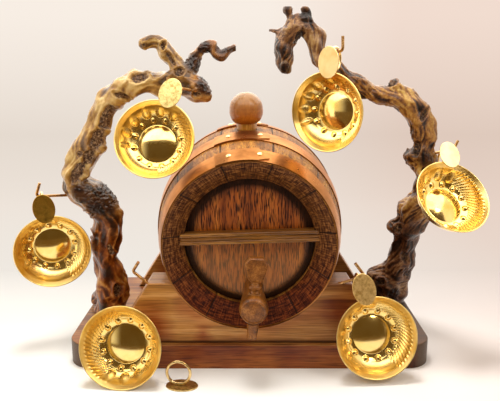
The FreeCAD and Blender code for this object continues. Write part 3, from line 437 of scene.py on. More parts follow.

# %% [markdown]
# The cradles are a lighter oak, with orange blotches where the stain sank in unevenly, three darker orange
# spots, painted shade that darkens them towards the right, and a painted shadow along the foot where they
# stand on the board. Each spot is a distance from a point, made ragged by the wood's own figure so that it
# follows the grain.

# %% Cradle wood
# x, z and radius in metres of each darker spot
DARK_SPOTS = ((-0.104, 0.036, 0.034), (0.096, 0.052, 0.03), (-0.05, 0.03, 0.022))
cradle_oak, tree, shader, parts = timber("varnished_oak_cradle", ["#865622", "#AC7636", "#C8965A", "#5A3412"],
    turn=ALONG_X, figure_mm=9, grain_mm=1.3, pore_mm=1.0, stretch=34, pores=0.45, seed=4.0)
patches(tree, parts, shader, "#D09058", 50, 0.45, 0.62, 0.6, stretch=(1, 0.7, 1))
here = add(tree, "ShaderNodeTexCoord")
flatten = add(tree, "ShaderNodeVectorMath", {0: (here, "Object"), 1: (1, 0, 0.8)}, operation="MULTIPLY")
for x, z, wide in DARK_SPOTS:
    away = add(tree, "ShaderNodeVectorMath", {0: (flatten, 0), 1: (x, 0, z)}, operation="DISTANCE")
    ragged = add(tree, "ShaderNodeMath", {0: (parts["figure"], 0), 1: 0.03, 2: (away, 1)},
                 operation="MULTIPLY_ADD")
    dark_spot = add(tree, "ShaderNodeMapRange", {0: (ragged, 0), 1: wide * 0.7, 2: wide * 1.25, 3: 0.85, 4: 0.0})
    spotted = add(tree, "ShaderNodeMix", {0: (dark_spot, 0), 6: (parts["wood"], 2), 7: colour("#BC6A2C")},
                data_type="RGBA", blend_type="MULTIPLY")
    parts["wood"] = spotted
low_down = add(tree, "ShaderNodeSeparateXYZ", {0: (here, "Object")})
# painted shade: the cradle darkens and dulls towards the right
cradle_right_shade = add(tree, "ShaderNodeMapRange", {0: (low_down, "X"), 1: 0.0, 2: 0.08})
duller = add(tree, "ShaderNodeMix", {0: (cradle_right_shade, 0), 6: (parts["wood"], 2), 7: colour("#CEC6BC")},
             data_type="RGBA", blend_type="MULTIPLY")
# painted shadow: a dark band along the foot, where the cradle stands on the board
foot = add(tree, "ShaderNodeMapRange", {0: (low_down, "Z"), 1: 0.0275, 2: 0.0305, 3: 0.9, 4: 0.0})
foot_shadow = add(tree, "ShaderNodeMix", {0: (foot, 0), 6: (duller, 2), 7: colour("#2A1206")}, data_type="RGBA")
feed(tree, (foot_shadow, 2), shader, "Base Color")
print(cradle_oak.name, "nodes", len(tree.nodes))

# %% [markdown]
# ### Stave wood
# Oiled cask oak, nearly matt. On the outside the grain runs the length of the cask. On the bevel
# at each end the cut crosses the fibres, so it is dark and rough, with saw marks that run round
# and cracks that run outwards, and it drinks in the light. Such marks lie a few tenths of a
# millimetre apart. They are drawn about 1.6 mm apart, because finer ones wouldn't show. The end
# could have a material of its own, but one tree that measures the distance from the cask's middle
# keeps the grain running into the cut.

# %% Stave wood: where the end is cut
END_RADIUS, CUT_START, CUT_END = 90.6 * MM, 96 * MM, 98 * MM
stave_oak, tree, shader, parts = timber("oiled_oak_stave", ["#5C3812", "#925E24", "#BE883A", "#321C08"],
    turn=CASK_TURN, place=CASK_PLACE, figure_mm=9, grain_mm=2.6, pore_mm=1.0, stretch=14, pores=0.6,
    coat=0.0, rough=0.5, seed=8.0)
shader.inputs["Specular IOR Level"].default_value = 0.12
tint = add(tree, "ShaderNodeAttribute", attribute_name="stave_tint")
worn = add(tree, "ShaderNodeMapRange", {0: (tint, "Fac"), 3: 0.72, 4: 1.12})
shaded = add(tree, "ShaderNodeVectorMath", {0: (parts["wood"], 2), "Scale": (worn, 0)}, operation="SCALE")
where = add(tree, "ShaderNodeSeparateXYZ", {0: (parts["local"], 0)})
inward = add(tree, "ShaderNodeMath", {0: (where, "Y"), 1: CASK_LENGTH / 2}, operation="SUBTRACT")
distance = add(tree, "ShaderNodeMath", {0: (inward, 0)}, operation="ABSOLUTE")
radial = add(tree, "ShaderNodeVectorMath", {0: (parts["local"], 0), 1: (1, 0, 1)}, operation="MULTIPLY")
radius = add(tree, "ShaderNodeVectorMath", {0: (radial, 0)}, operation="LENGTH")
inside = add(tree, "ShaderNodeMath", {0: (radius, 1), 1: END_RADIUS}, operation="LESS_THAN")
cut = add(tree, "ShaderNodeMapRange", {0: (distance, 0), 1: CUT_START, 2: CUT_END})
end_cut = add(tree, "ShaderNodeMath", {0: (inside, 0), 1: (cut, 0)}, operation="MULTIPLY")
print("cut ends lie", round((CASK_LENGTH / 2 - CUT_END) / MM, 1), "mm deep")

# %% Stave wood: saw marks and colours of the cut
# changes for each radian round the end and for each metre outwards
SAW_MARKS, CRACKS = (9, 620, 1), (78, 90, 1)
turn_at = add(tree, "ShaderNodeMath", {0: (where, "Z"), 1: (where, "X")}, operation="ARCTAN2")
saw = add(tree, "ShaderNodeCombineXYZ", {0: (turn_at, 0), 1: (radius, 1)})
round_marks = add(tree, "ShaderNodeVectorMath", {0: (saw, 0), 1: SAW_MARKS}, operation="MULTIPLY")
rings = add(tree, "ShaderNodeTexNoise", {"Vector": (round_marks, 0), "Scale": 1.0, "Detail": 3,
            "Roughness": 0.6})
cross_marks = add(tree, "ShaderNodeVectorMath", {0: (saw, 0), 1: CRACKS}, operation="MULTIPLY")
cuts = add(tree, "ShaderNodeTexNoise", {"Vector": (cross_marks, 0), "Scale": 1.0, "Detail": 3,
           "Roughness": 0.6})
sawn = add(tree, "ShaderNodeMix", {0: 0.45, 2: (rings, 0), 3: (cuts, 0)})
fibre = add(tree, "ShaderNodeValToRGB", {0: (sawn, 0)},
            stops=[(0.4, colour("#241005")), (0.5, colour("#552E12")), (0.6, colour("#8C5A2C"))])
below = add(tree, "ShaderNodeMapRange", {0: (where, "Z"), 1: 0.0, 2: -0.06, 3: 0.0, 4: 0.8})
warm_end = add(tree, "ShaderNodeMix", {0: (below, 0), 6: (fibre, 0), 7: colour("#E09050")},
               data_type="RGBA", blend_type="MULTIPLY")
both = add(tree, "ShaderNodeMix", {0: (end_cut, 0), 6: (shaded, 0), 7: (warm_end, 2)}, data_type="RGBA")
print("saw marks lie about", round(1000 / SAW_MARKS[1], 1), "mm apart")

# %% Stave wood: dark joints and relief
share = add(tree, "ShaderNodeMath", {0: (turn_at, 0), 1: STAVE_COUNT / (2 * math.pi),
            2: 0.5 - STAVE_COUNT / 4}, operation="MULTIPLY_ADD")
nearest = add(tree, "ShaderNodeMath", {0: (share, 0)}, operation="ROUND")
aside = add(tree, "ShaderNodeMath", {0: (share, 0), 1: (nearest, 0)}, operation="SUBTRACT")
off_joint = add(tree, "ShaderNodeMath", {0: (aside, 0)}, operation="ABSOLUTE")
joint = add(tree, "ShaderNodeMapRange", {0: (off_joint, 0), 1: 0.008, 2: 0.024, 3: 0.85, 4: 0.0})
jointed = add(tree, "ShaderNodeMix", {0: (joint, 0), 6: (both, 2), 7: colour("#180B05")}, data_type="RGBA")
feed(tree, (jointed, 2), shader, "Base Color")
rugged = add(tree, "ShaderNodeMath", {0: (sawn, 0), 1: (end_cut, 0)}, operation="MULTIPLY")
chisel = add(tree, "ShaderNodeBump", {"Height": (rugged, 0), "Strength": 0.8, "Distance": 0.7 * MM,
             "Normal": (parts["relief"], 0)})
feed(tree, (chisel, 0), shader, "Normal")
print(stave_oak.name, "nodes", len(tree.nodes))

# %% [markdown]
# ### The head and its bar
# The head is a redder oak with bold upright pores, which give it its dark strokes. It darkens outwards, where
# its edge is bevelled into the groove of the staves: darker stain there, deepened with painted shade where
# the chime shadows it. It is a little paler below the bar. The bar is a moulded strip under thicker varnish,
# so its edges catch the light.

# %% Head and bar wood
head_oak, tree, shader, parts = timber("red_oak_head", ["#6A300A", "#9A4E12", "#BC6E22", "#2A0F04"],
    turn=ALONG_Z, place=CASK_PLACE, figure_mm=12, grain_mm=1.7, pore_mm=0.9, stretch=28, pores=1.0,
    open_up=0.05, coat=0.1, rough=0.4, bump_mm=0.35, swirl=0.15, seed=12.0)
where = add(tree, "ShaderNodeSeparateXYZ", {0: (parts["local"], 0)})
flat = add(tree, "ShaderNodeVectorMath", {0: (parts["local"], 0), 1: (1, 1, 0)}, operation="MULTIPLY")
radius = add(tree, "ShaderNodeVectorMath", {0: (flat, 0)}, operation="LENGTH")
lower = add(tree, "ShaderNodeMapRange", {0: (where, "Y"), 1: 0.012, 2: -0.02, 3: 0.0, 4: 0.35})
paler_below = add(tree, "ShaderNodeMix", {0: (lower, 0), 6: (parts["wood"], 2), 7: colour("#A87848")},
            data_type="RGBA")
# darker stain and painted shade: the rim darkens where it sinks into the groove under the chime
edge = add(tree, "ShaderNodeMapRange", {0: (radius, 1), 1: 56 * MM, 2: 64 * MM, 3: 0.0, 4: 0.93})
rim = add(tree, "ShaderNodeMix", {0: (edge, 0), 6: (paler_below, 2), 7: colour("#1C0C06")}, data_type="RGBA")
feed(tree, (rim, 2), shader, "Base Color")

bar_oak = timber("moulded_oak_bar", ["#4E2C0E", "#7E4F1E", "#AE7A34", "#241105"], turn=ALONG_X,
    figure_mm=8, grain_mm=1.8, pore_mm=0.9, stretch=20, coat=0.5, rough=0.3, seed=17.0)[0]
print("made", head_oak.name, "and", bar_oak.name)

# %% [markdown]
# ### Turned wood
# The bung knob and the tap are turned from a fine, even wood such as beech or pear, under clear varnish that
# gives a small soft highlight. Its grain is quiet, with small flecks, so the pores are nearly off. The knob's
# crown is painted paler, a painted sheen of the light from above, and the tap is darker with handling.

# %% Turned wood
knob_beech, tree, shader, parts = timber("varnished_beech_knob", ["#8A4808", "#A45C12", "#BA7424", "#643408"],
    turn=(math.radians(80), 0, 0.3), figure_mm=12, grain_mm=1.4, pore_mm=0.8, stretch=9, pores=0.25,
    coat=0.35, rough=0.36, bump_mm=0.08, seed=21.0)
spot = add(tree, "ShaderNodeSeparateXYZ", {0: (add(tree, "ShaderNodeTexCoord"), "Object")})
# painted sheen: the top of the ball is paler, as the light from above shows it
crown = add(tree, "ShaderNodeMapRange", {0: (spot, "Z"), 1: 0.262, 2: 0.284, 3: 0.0, 4: 0.75})
painted_crown_light = add(tree, "ShaderNodeMix", {0: (crown, 0), 6: (parts["wood"], 2), 7: colour("#9A7850")},
               data_type="RGBA")
feed(tree, (painted_crown_light, 2), shader, "Base Color")

plug_beech = timber("golden_bung_plug", ["#8E5812", "#B47A2A", "#CE9A4A", "#6A3E10"],
    turn=(math.radians(94), 0, 0), figure_mm=8, grain_mm=1.4, pore_mm=0.8, stretch=12, pores=0.3,
    coat=0.6, rough=0.3, bump_mm=0.08, seed=23.0)[0]

tap_pear = timber("turned_pear_tap", ["#44250A", "#784412", "#A46A2A", "#2A1606"],
    turn=(TAIL_UP, 0, 0), figure_mm=10, grain_mm=1.6, pore_mm=0.8, stretch=10, pores=0.4,
    coat=0.22, rough=0.34, bump_mm=0.12, seed=25.0)[0]
print("made", knob_beech.name + ",", plug_beech.name, "and", tap_pear.name)

# %% [markdown]
# ## Metals
# On a metal the base colour is the colour of its reflections, and roughness that varies a little
# keeps a large plain surface from looking computer-made. One recipe lays a soft tarnish over the
# bright metal in cloudy patches, and a fine unevenness on its surface. Scratched or brushed metal
# could be drawn with a stretched noise, but the blur that handling leaves is all that shows here.


# %% Metal recipe
def metal(name, code, dull, rough, rough_spread, blotch_mm, bump_mm, grain_mm=3.0, detail=3, seed=0.0):
    """Sheet or wire metal with soft tarnish `dull` over `code` and a lightly uneven surface."""
    material, tree, shader = new_material(name)
    spot = add(tree, "ShaderNodeTexCoord")
    blotch = add(tree, "ShaderNodeTexNoise", {"Vector": (spot, "Object"), "W": seed,
                 "Scale": 1000 / blotch_mm, "Detail": 4, "Roughness": 0.6}, noise_dimensions="4D")
    film = add(tree, "ShaderNodeMapRange", {0: (blotch, 0), 1: 0.42, 2: 0.68})
    tone = add(tree, "ShaderNodeMix", {0: (film, 0), 6: colour(code), 7: colour(dull)}, data_type="RGBA")
    gloss = add(tree, "ShaderNodeMapRange", {0: (blotch, 0), 1: 0.3, 2: 0.7, 3: rough - rough_spread,
                4: rough + rough_spread})
    dent = add(tree, "ShaderNodeTexNoise", {"Vector": (spot, "Object"), "W": seed + 5,
               "Scale": 1000 / grain_mm, "Detail": detail}, noise_dimensions="4D")
    relief = add(tree, "ShaderNodeBump", {"Height": (dent, 0), "Strength": 0.5, "Distance": bump_mm * MM})
    shader.inputs["Metallic"].default_value = 1.0
    feed(tree, (tone, 2), shader, "Base Color")
    feed(tree, (gloss, 0), shader, "Roughness")
    feed(tree, (relief, 0), shader, "Normal")
    return material, tree, shader


print("worn copper in linear light:", [round(part, 2) for part in colour("#B07644")[:3]])

# %% Copper hoops and brass cups
# Hoops are rolled copper sheet, rubbed dull by hand: broad, blurred, reddish highlights.
hoop_copper, tree, shader = metal("rubbed_copper_hoop", "#B07644", "#84542C", 0.31, 0.07, 26, 0.35,
                                  grain_mm=14, detail=2, seed=1)
shader.inputs["Specular Tint"].default_value = colour("#EED8C6")
# Cups are pressed brass. The dome is polished like a mirror and the wall is satin, which spreads
# the light into a glow, so the roughness follows an attribute of the skin.
cup_brass, tree, shader = metal("polished_brass_cup", "#FBDE92", "#F2C968", 0.13, 0.03, 18, 0.03,
                                grain_mm=9, detail=2, seed=2)
satin = add(tree, "ShaderNodeAttribute", attribute_name="satin")
soft = add(tree, "ShaderNodeMapRange", {0: (satin, "Fac"), 3: 0.14, 4: 0.28})
feed(tree, (soft, 0), shader, "Roughness")
print("made", hoop_copper.name, "and", cup_brass.name)

# %% Thumb plates, wire, rivets and screws
# A stippled plate breaks the light up into sparks, a tarnished one is brown and dull, a gold one
# is hammered and warm, and a plain one is smooth and pale.
plate_brass = metal("stippled_brass_plate", "#DEC484", "#967C3E", 0.36, 0.05, 3.4, 0.5,
                    grain_mm=1.1, detail=1, seed=3)[0]
dark_brass = metal("tarnished_brass_plate", "#BA8E38", "#7E6022", 0.36, 0.06, 7, 0.3,
                   grain_mm=1.6, detail=1, seed=4)[0]
gold_brass = metal("gold_brass_plate", "#FFDE98", "#CC9C50", 0.45, 0.05, 3.2, 0.7,
                   grain_mm=1.3, detail=1, seed=9)[0]
plain_brass = metal("plain_brass_plate", "#EED29A", "#DDBB7C", 0.42, 0.04, 16, 0.03, seed=10)[0]
# Drawn wire is bright where rings rub on it and brown where hooks are only handled.
ring_brass = metal("brass_wire_ring", "#E6CA94", "#B89458", 0.2, 0.05, 5, 0.05, seed=5)[0]
hook_brass = metal("handled_brass_wire", "#C29863", "#7A5330", 0.3, 0.08, 4, 0.1, grain_mm=1.5, seed=7)[0]
# Rivet heads are small and pale, and plated screws are a cold grey.
rivet_brass = metal("brass_rivet", "#F6E2B0", "#D8B878", 0.34, 0.05, 3, 0.04, seed=6)[0]
screw_steel = metal("zinc_plated_screw", "#B9BABC", "#8C8C8A", 0.3, 0.06, 4, 0.03, seed=8)[0]
# Cork is matt and crumbly, with no run of the grain.
cork_liner = timber("cork_liner", ["#8A5F38", "#B08154", "#C99E72", "#4A2E18"], figure_mm=2.5,
    grain_mm=0.9, pore_mm=0.7, stretch=1, pores=0.8, coat=0.0, rough=0.8, seed=30.0)[0]
print("materials", len(bpy.data.materials))

# %% [markdown]
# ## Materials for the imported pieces
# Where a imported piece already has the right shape, it stays and only gets its finish. Copying it
# to add a material would only make a second mesh to keep in step with the first.

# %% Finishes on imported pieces
FINISHES = {
    "base_board": board_oak, "front_cradle": cradle_oak, "rear_cradle": cradle_oak,
    "front_head": head_oak, "rear_head": head_oak, "head_crossbar": bar_oak,
    "bung_knob": knob_beech, "bung_plug": plug_beech, "tap_body": tap_pear, "tap_spout": tap_pear,
    "tap_key": tap_pear, "tap_cork_sleeve": cork_liner, "cradle_screws": screw_steel,
    "vine_screws": screw_steel, "loose_handle_ring": ring_brass, "loose_handle_plate": plate_brass,
}
CUP_NAMES = ["cup_top_left", "cup_mid_left", "cup_top_right", "cup_mid_right", "cup_low_right"]
for name in CUP_NAMES:
    FINISHES[name + "_ring"] = ring_brass
    FINISHES[name + "_plate"] = plate_brass
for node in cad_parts:
    if node.startswith("hook_"):
        FINISHES[node] = hook_brass
    if node.endswith("_hoop"):
        FINISHES[node] = hoop_copper
FINISHES["cup_mid_left_plate"] = dark_brass
FINISHES["cup_low_right_plate"] = gold_brass
FINISHES["cup_top_right_plate"] = FINISHES["cup_mid_right_plate"] = plain_brass


def finish_node(node, material):
    """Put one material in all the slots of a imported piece."""
    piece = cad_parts[node]
    if not piece.material_slots:
        raise RuntimeError(node + " has no material slot")
    for holder in piece.material_slots:
        holder.link = "OBJECT"
        holder.material = material


for node, material in FINISHES.items():
    finish_node(node, material)
print("finished", len(FINISHES), "packed pieces")

# %% [markdown]
# ## Staves
# Eleven bent staves make the barrel. One stave is drawn as a closed cross-section, with the
# groove that holds the head and the bevel at each end, and swept round by its share of the
# circle. Its long edges are eased, so a fine dark line shows between neighbours. The whole barrel
# could be turned in one go, but then no light would break at the joints and all the staves would
# be of one tree.

# %% Section of a stave
CHIME_FLAT, BEVEL_DEPTH, BORE_RADIUS = 1.5 * MM, 15 * MM, 70 * MM
HEAD_DEPTH, HEAD_THICK, CROZE_DEPTH = 22 * MM, 10 * MM, 3.5 * MM
INSIDE_START = 45 * MM
STAVE_SHARE = 360 / STAVE_COUNT
EASE, STAVE_GAP = 0.35 * MM, 0.06 * MM


def inner(y):
    """Radius of the barrel's inside."""
    return bow(y, -STAVE_THICK)


def stave_section(shrink):
    """Closed (radius, y) outline of a stave's end-to-end section, pulled in by `shrink`."""
    groove = [HEAD_DEPTH, HEAD_DEPTH + HEAD_THICK]
    half = [(bow(0) - shrink, shrink), (bow(0) - CHIME_FLAT - shrink, shrink),
            (BORE_RADIUS + shrink, BEVEL_DEPTH + shrink * 0.6), (BORE_RADIUS + shrink, groove[0])]
    half += [(inner(groove[0]) + CROZE_DEPTH, groove[0]), (inner(groove[1]) + CROZE_DEPTH, groove[1])]
    half += [(inner(groove[1]) + shrink, groove[1] + 0.2 * MM)]
    middle = [(inner(y) + shrink, y) for y in np.linspace(INSIDE_START, CASK_LENGTH - INSIDE_START, 13)]
    far = [(radius, CASK_LENGTH - y) for radius, y in reversed(half)]
    outside = [(bow(y) - shrink, y) for y in np.linspace(CASK_LENGTH, 0, 33)[1:-1]]
    return half + middle + far + outside


print("stave section points", len(stave_section(0)))


# %% One stave
def stave_mesh(name, steps=18):
    """A stave centred on +X in its own frame, with its long edges eased."""
    half = STAVE_SHARE / 2 - math.degrees(STAVE_GAP / CHIME_RADIUS)
    ease = math.degrees(EASE / CHIME_RADIUS)
    angles = [-half] + list(np.linspace(-half + ease, half - ease, steps)) + [half]
    points, faces = [], []
    for angle in angles:
        edge = abs(angle) == half
        for radius, y in stave_section(EASE if edge else 0.0):
            a = math.radians(angle)
            points.append((radius * math.cos(a), y, radius * math.sin(a)))
    rows = len(stave_section(0))
    for column in range(len(angles) - 1):
        for row in range(rows):
            above = (row + 1) % rows
            faces.append([column * rows + row, column * rows + above,
                          (column + 1) * rows + above, (column + 1) * rows + row])
    faces.append(range(rows))
    faces.append(range((len(angles) - 1) * rows, len(angles) * rows))
    piece = mesh_piece(name, points, faces, smooth=False)
    piece.data.polygons.foreach_set("use_smooth", [len(face.vertices) == 4 for face in piece.data.polygons])
    return piece


stave = stave_mesh("stave_pattern")
print("stave faces", len(stave.data.polygons))

# %% [markdown]
# ### Geometry Nodes from a script
# Copies could be made by a loop, but a Geometry Nodes tree keeps the rule in one place, with its
# sizes as named inputs. Three helpers do for every tree here: one opens a tree with its inputs,
# one ends it in real geometry with a material on it, and one runs it on a piece.


# %% Helpers for trees
def group(name, inputs):
    """A geometry group with its input sockets. Gives the tree, its ends and the sockets' identifiers."""
    tree = bpy.data.node_groups.new(name, "GeometryNodeTree")
    tree.interface.new_socket("Geometry", in_out="INPUT", socket_type="NodeSocketGeometry")
    names = {}
    for label, kind in inputs.items():
        names[label] = tree.interface.new_socket(
            label, in_out="INPUT", socket_type="NodeSocket" + kind).identifier
    tree.interface.new_socket("Geometry", in_out="OUTPUT", socket_type="NodeSocketGeometry")
    return tree, add(tree, "NodeGroupInput"), names


def close_group(tree, geometry, source):
    """End a tree in Realize Instances and Set Material."""
    real = add(tree, "GeometryNodeRealizeInstances", {0: geometry})
    dressed = add(tree, "GeometryNodeSetMaterial", {"Geometry": (real, 0), "Material": (source, "Material")})
    add(tree, "NodeGroupOutput", {0: (dressed, 0)})


def run_group(piece, tree, names, values, result_name):
    """Give a piece a tree with its inputs set, and turn the result into a plain mesh."""
    change = piece.modifiers.new(tree.name, "NODES")
    change.node_group = tree
    for label, value in values.items():
        change[names[label]] = value
    return finished(piece, result_name)


print("a tree is opened, closed and run by", [job.__name__ for job in (group, close_group, run_group)])

# %% [markdown]
# ### Copies round the axis
# The tree makes a point for each stave, sets the pattern on it turned by its share of the circle,
# and gives each copy a random number from a fixed seed. The wood reads that number as its tint, so
# that neighbours differ a little, as they do in a real cask.

# %% Tree that sets pieces round an axis
ring_tree, source, ring_names = group("set round the cask", {
    "Piece": "Object", "Count": "Int", "Skip": "Int", "First Angle": "Float", "Seed": "Int",
    "Material": "Material"})
number = add(ring_tree, "ShaderNodeMath", {0: (source, "Count"), 1: (source, "Skip")}, operation="SUBTRACT")
spots = add(ring_tree, "GeometryNodeMeshLine", {"Count": (number, 0), "Offset": (0, 0, 0)})
pattern = add(ring_tree, "GeometryNodeObjectInfo", {"Object": (source, "Piece")})
index = add(ring_tree, "GeometryNodeInputIndex")
place = add(ring_tree, "ShaderNodeMath", {0: (index, 0), 1: (source, "Skip")}, operation="ADD")
step = add(ring_tree, "ShaderNodeMath", {0: 2 * math.pi, 1: (source, "Count")}, operation="DIVIDE")
turn = add(ring_tree, "ShaderNodeMath", {0: (place, 0), 1: (step, 0), 2: (source, "First Angle")},
           operation="MULTIPLY_ADD")
spin = add(ring_tree, "ShaderNodeCombineXYZ", {"Y": (turn, 0)})
copies = add(ring_tree, "GeometryNodeInstanceOnPoints", {"Points": (spots, 0),
             "Instance": (pattern, "Geometry"), "Rotation": (spin, 0)})
chance = add(ring_tree, "FunctionNodeRandomValue", {"Seed": (source, "Seed")})
tinted = add(ring_tree, "GeometryNodeStoreNamedAttribute", {"Geometry": (copies, 0), "Name": "stave_tint",
             "Value": (chance, 1)}, data_type="FLOAT", domain="INSTANCE")
close_group(ring_tree, (tinted, 0), source)
print("tree", ring_tree.name, "inputs", list(ring_names))

# %% Set the staves
holder = mesh_piece("stave_holder", [(0, 0, 0), (MM, 0, 0), (0, MM, 0)], [(0, 1, 2)])
values = {"Piece": stave, "Count": STAVE_COUNT, "Skip": 1, "First Angle": -math.pi / 2, "Seed": 5,
          "Material": stave_oak}
staves = run_group(holder, ring_tree, ring_names, values, "side_staves")
to_stand(staves)
print("staves", len(staves.data.polygons))

# %% [markdown]
# ### The bung stave
# One more copy of the stave, with a tapered hole cut in it by a Boolean. The hole could be built
# into the section, but a real cooper bores it last as well, and the cut leaves a clean round edge.

# %% Cut the bung hole
BUNG_TOP, BUNG_FOOT, BUNG_TINT = 11.6 * MM, 10.4 * MM, 0.85
DRILL_LOW, DRILL_OVER = 60 * MM, 20 * MM
taper = (BUNG_TOP - BUNG_FOOT) / STAVE_THICK
drill = [(0.0, DRILL_LOW), (BUNG_FOOT - (BELLY_RADIUS - STAVE_THICK - DRILL_LOW) * taper, DRILL_LOW),
         (BUNG_TOP + DRILL_OVER * taper, BELLY_RADIUS + DRILL_OVER), (0.0, BELLY_RADIUS + DRILL_OVER)]
hole = mesh_piece("bung_drill", *turned(drill, 64), merge=1e-6)
hole.location = (0, CASK_LENGTH / 2, 0)
stave.rotation_euler = (0, -math.pi / 2, 0)
bpy.context.view_layer.update()
cut = stave.modifiers.new("bung hole", "BOOLEAN")
cut.operation = "DIFFERENCE"
cut.solver = "EXACT"
cut.object = hole
bung_stave = finished(stave, "bung_stave", drop=[hole])
tint = bung_stave.data.attributes.new("stave_tint", "FLOAT", "POINT")
tint.data.foreach_set("value", [BUNG_TINT] * len(bung_stave.data.vertices))
to_stand(bung_stave)
print("bung stave", len(bung_stave.data.polygons))

# %% Dress and place the staves
for piece, nodes in ((staves, ["stave_%02d" % n for n in range(2, 12)]), (bung_stave, ["stave_01"])):
    piece.data.materials.clear()
    piece.data.materials.append(stave_oak)
    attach(piece, "stand")
    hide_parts(*nodes)
    print(piece.name, "stands for", len(nodes), "packed pieces")

# %% [markdown]
# ## Rivets
# Each lap is held by two brass rivets with low, round heads. One head is turned as a small
# profile, and a tree sets it on a marked point of the hoop. The hoop's skin leans with the cask's
# bow, so each point carries the way that it faces and the tree turns the head square to it.

# %% Rivet head and its tree
RIVET_RADIUS, RIVET_HEIGHT, HOOP_THICK = 2.9 * MM, 1.5 * MM, 1.2 * MM
RIVET_ANGLES = (-11.0, 8.0)
HOOP_MIDDLES = {"front": (13.5, 72.5), "rear": (153.5, 212.5)}
dome = [(RIVET_RADIUS * math.cos(a), RIVET_HEIGHT * math.sin(a)) for a in np.linspace(0, math.pi / 2, 9)]
profile = [(0.0, -0.5 * MM), (RIVET_RADIUS * 0.97, -0.5 * MM)] + dome
head = mesh_piece("rivet_pattern", *turned(profile, 32), merge=1e-6)
place_tree, source, place_names = group("rivets on a hoop", {"Head": "Object", "Material": "Material"})
pattern = add(place_tree, "GeometryNodeObjectInfo", {"Object": (source, "Head")})
facing = add(place_tree, "GeometryNodeInputNamedAttribute", {"Name": "out"}, data_type="FLOAT_VECTOR")
square = add(place_tree, "FunctionNodeAlignEulerToVector", {"Vector": (facing, 0)}, axis="Z")
heads = add(place_tree, "GeometryNodeInstanceOnPoints", {"Points": (source, 0),
            "Instance": (pattern, "Geometry"), "Rotation": (square, 0)})
close_group(place_tree, (heads, 0), source)
print("rivet head faces", len(head.data.polygons))


# %% Marked points and rivets
def marked_points(name, middles):
    """One point on the lap for each rivet, with the way that it faces stored on it."""
    spots, ways = [], []
    for y in (middle * MM for middle in middles):
        for angle in RIVET_ANGLES:
            a = math.radians(angle)
            lean = math.asin((CASK_LENGTH / 2 - y) / BOW_RADIUS)
            reach = bow(y) + 2 * HOOP_THICK + 0.05 * MM
            spots.append((reach * math.sin(a), y, reach * math.cos(a)))
            ways.append((math.sin(a) * math.cos(lean), -math.sin(lean), math.cos(a) * math.cos(lean)))
    data = bpy.data.meshes.new(name)
    data.from_pydata(spots, [], [])
    out = data.attributes.new("out", "FLOAT_VECTOR", "POINT")
    out.data.foreach_set("vector", np.array(ways).ravel())
    marks = bpy.data.objects.new(name, data)
    bpy.context.scene.collection.objects.link(marks)
    return marks


for end, middles in HOOP_MIDDLES.items():
    marks = marked_points(end + "_rivet_marks", middles)
    rivets = run_group(marks, place_tree, place_names, {"Head": head, "Material": rivet_brass},
                       end + "_rivet_heads")
    to_stand(rivets)
    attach(rivets, "stand")
    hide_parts(end + "_hoop_rivets")
    print(end, "rivet faces", len(rivets.data.polygons))
bpy.data.objects.remove(head)

# %% [markdown]
# ## Tasting cups
# A tasting cup is pressed from one brass sheet, so what stands up inside is hollow outside. A
# domed centre throws light through the wine. Round it come a ring of small beads, a few large
# soft pearls on one side and a fan of slanted flutes on the other. The skin starts as a turned
# profile, drawn with arcs and straight stretches. It could be modelled by hand with a subdivided
# cage, but the arcs keep the mirror of the dome clean.

# %% Profile of the bowl
CUP_RADIUS, CUP_DEPTH, CUP_WALL = 42.5 * MM, 24 * MM, 1.0 * MM
BAND, BAND_FOOT, FLOOR_RADIUS = 6 * MM, 38.6 * MM, 27.5 * MM
DOME_RADIUS, DOME_HEIGHT = 19.4 * MM, 4.2 * MM


def through(a, b, c, count):
    """Points on the arc from a through b to c, without c."""
    ax, ay, bx, by, cx, cy = *a, *b, *c
    twice = 2 * (ax * (by - cy) + bx * (cy - ay) + cx * (ay - by))
    a2, b2, c2 = ax * ax + ay * ay, bx * bx + by * by, cx * cx + cy * cy
    x = (a2 * (by - cy) + b2 * (cy - ay) + c2 * (ay - by)) / twice
    y = (a2 * (cx - bx) + b2 * (ax - cx) + c2 * (bx - ax)) / twice
    radius = math.hypot(ax - x, ay - y)
    first, last = (math.atan2(q - y, p - x) for p, q in (a, c))
    sweep_angle = (last - first + math.pi) % (2 * math.pi) - math.pi
    turns = [first + sweep_angle * i / count for i in range(count)]
    return [(x + radius * math.cos(t), y + radius * math.sin(t)) for t in turns]


def straight(a, b, count):
    """Points from a to b, without b."""
    return [(a[0] + (b[0] - a[0]) * i / count, a[1] + (b[1] - a[1]) * i / count) for i in range(count)]


def bowl_profile(inset):
    """(radius, height) of the bowl's skin from axis to rim, moved in by `inset`."""
    floor, lean = inset - CUP_DEPTH, inset * 0.9
    foot = (DOME_RADIUS - lean * 0.4, floor + 0.6 * MM)
    flat, bend = (DOME_RADIUS + 0.8 * MM, floor + 0.1 * MM), (FLOOR_RADIUS - lean * 0.5, floor + 2.6 * MM)
    band = (BAND_FOOT - lean, -BAND)
    return (through((0.0, floor + DOME_HEIGHT), (DOME_RADIUS * 0.55, floor + DOME_HEIGHT * 0.72), foot, 22)
            + straight(foot, flat, 2) + through(flat, (24.4 * MM, floor + 1.0 * MM), bend, 20)
            + through(bend, (FLOOR_RADIUS + 7.2 * MM - lean, floor + 8.4 * MM), band, 40)
            + straight(band, (CUP_RADIUS - lean, 0.0), 7) + [(CUP_RADIUS - lean, 0.0)])


print("profile points", len(bowl_profile(CUP_WALL)))

# %% Bowl skin
BOWL_STEPS = 384
skin = mesh_piece("bowl_skin", *turned(bowl_profile(CUP_WALL), BOWL_STEPS), merge=1e-6)
if skin.data.polygons[0].normal.z < 0:
    skin.data.flip_normals()
print("bowl skin faces", len(skin.data.polygons))

# %% [markdown]
# ### Pressing the pattern
# A Geometry Nodes tree presses the pattern into the skin by moving each point along its normal.
# Beads and pearls are equal domes on a circle, and flutes are a wave that slides round as it goes
# outwards. Sculpting would do too, but a rule gives the even spacing that a steel die leaves. All
# heights are added up, and the points move once. One tree serves all six cups.

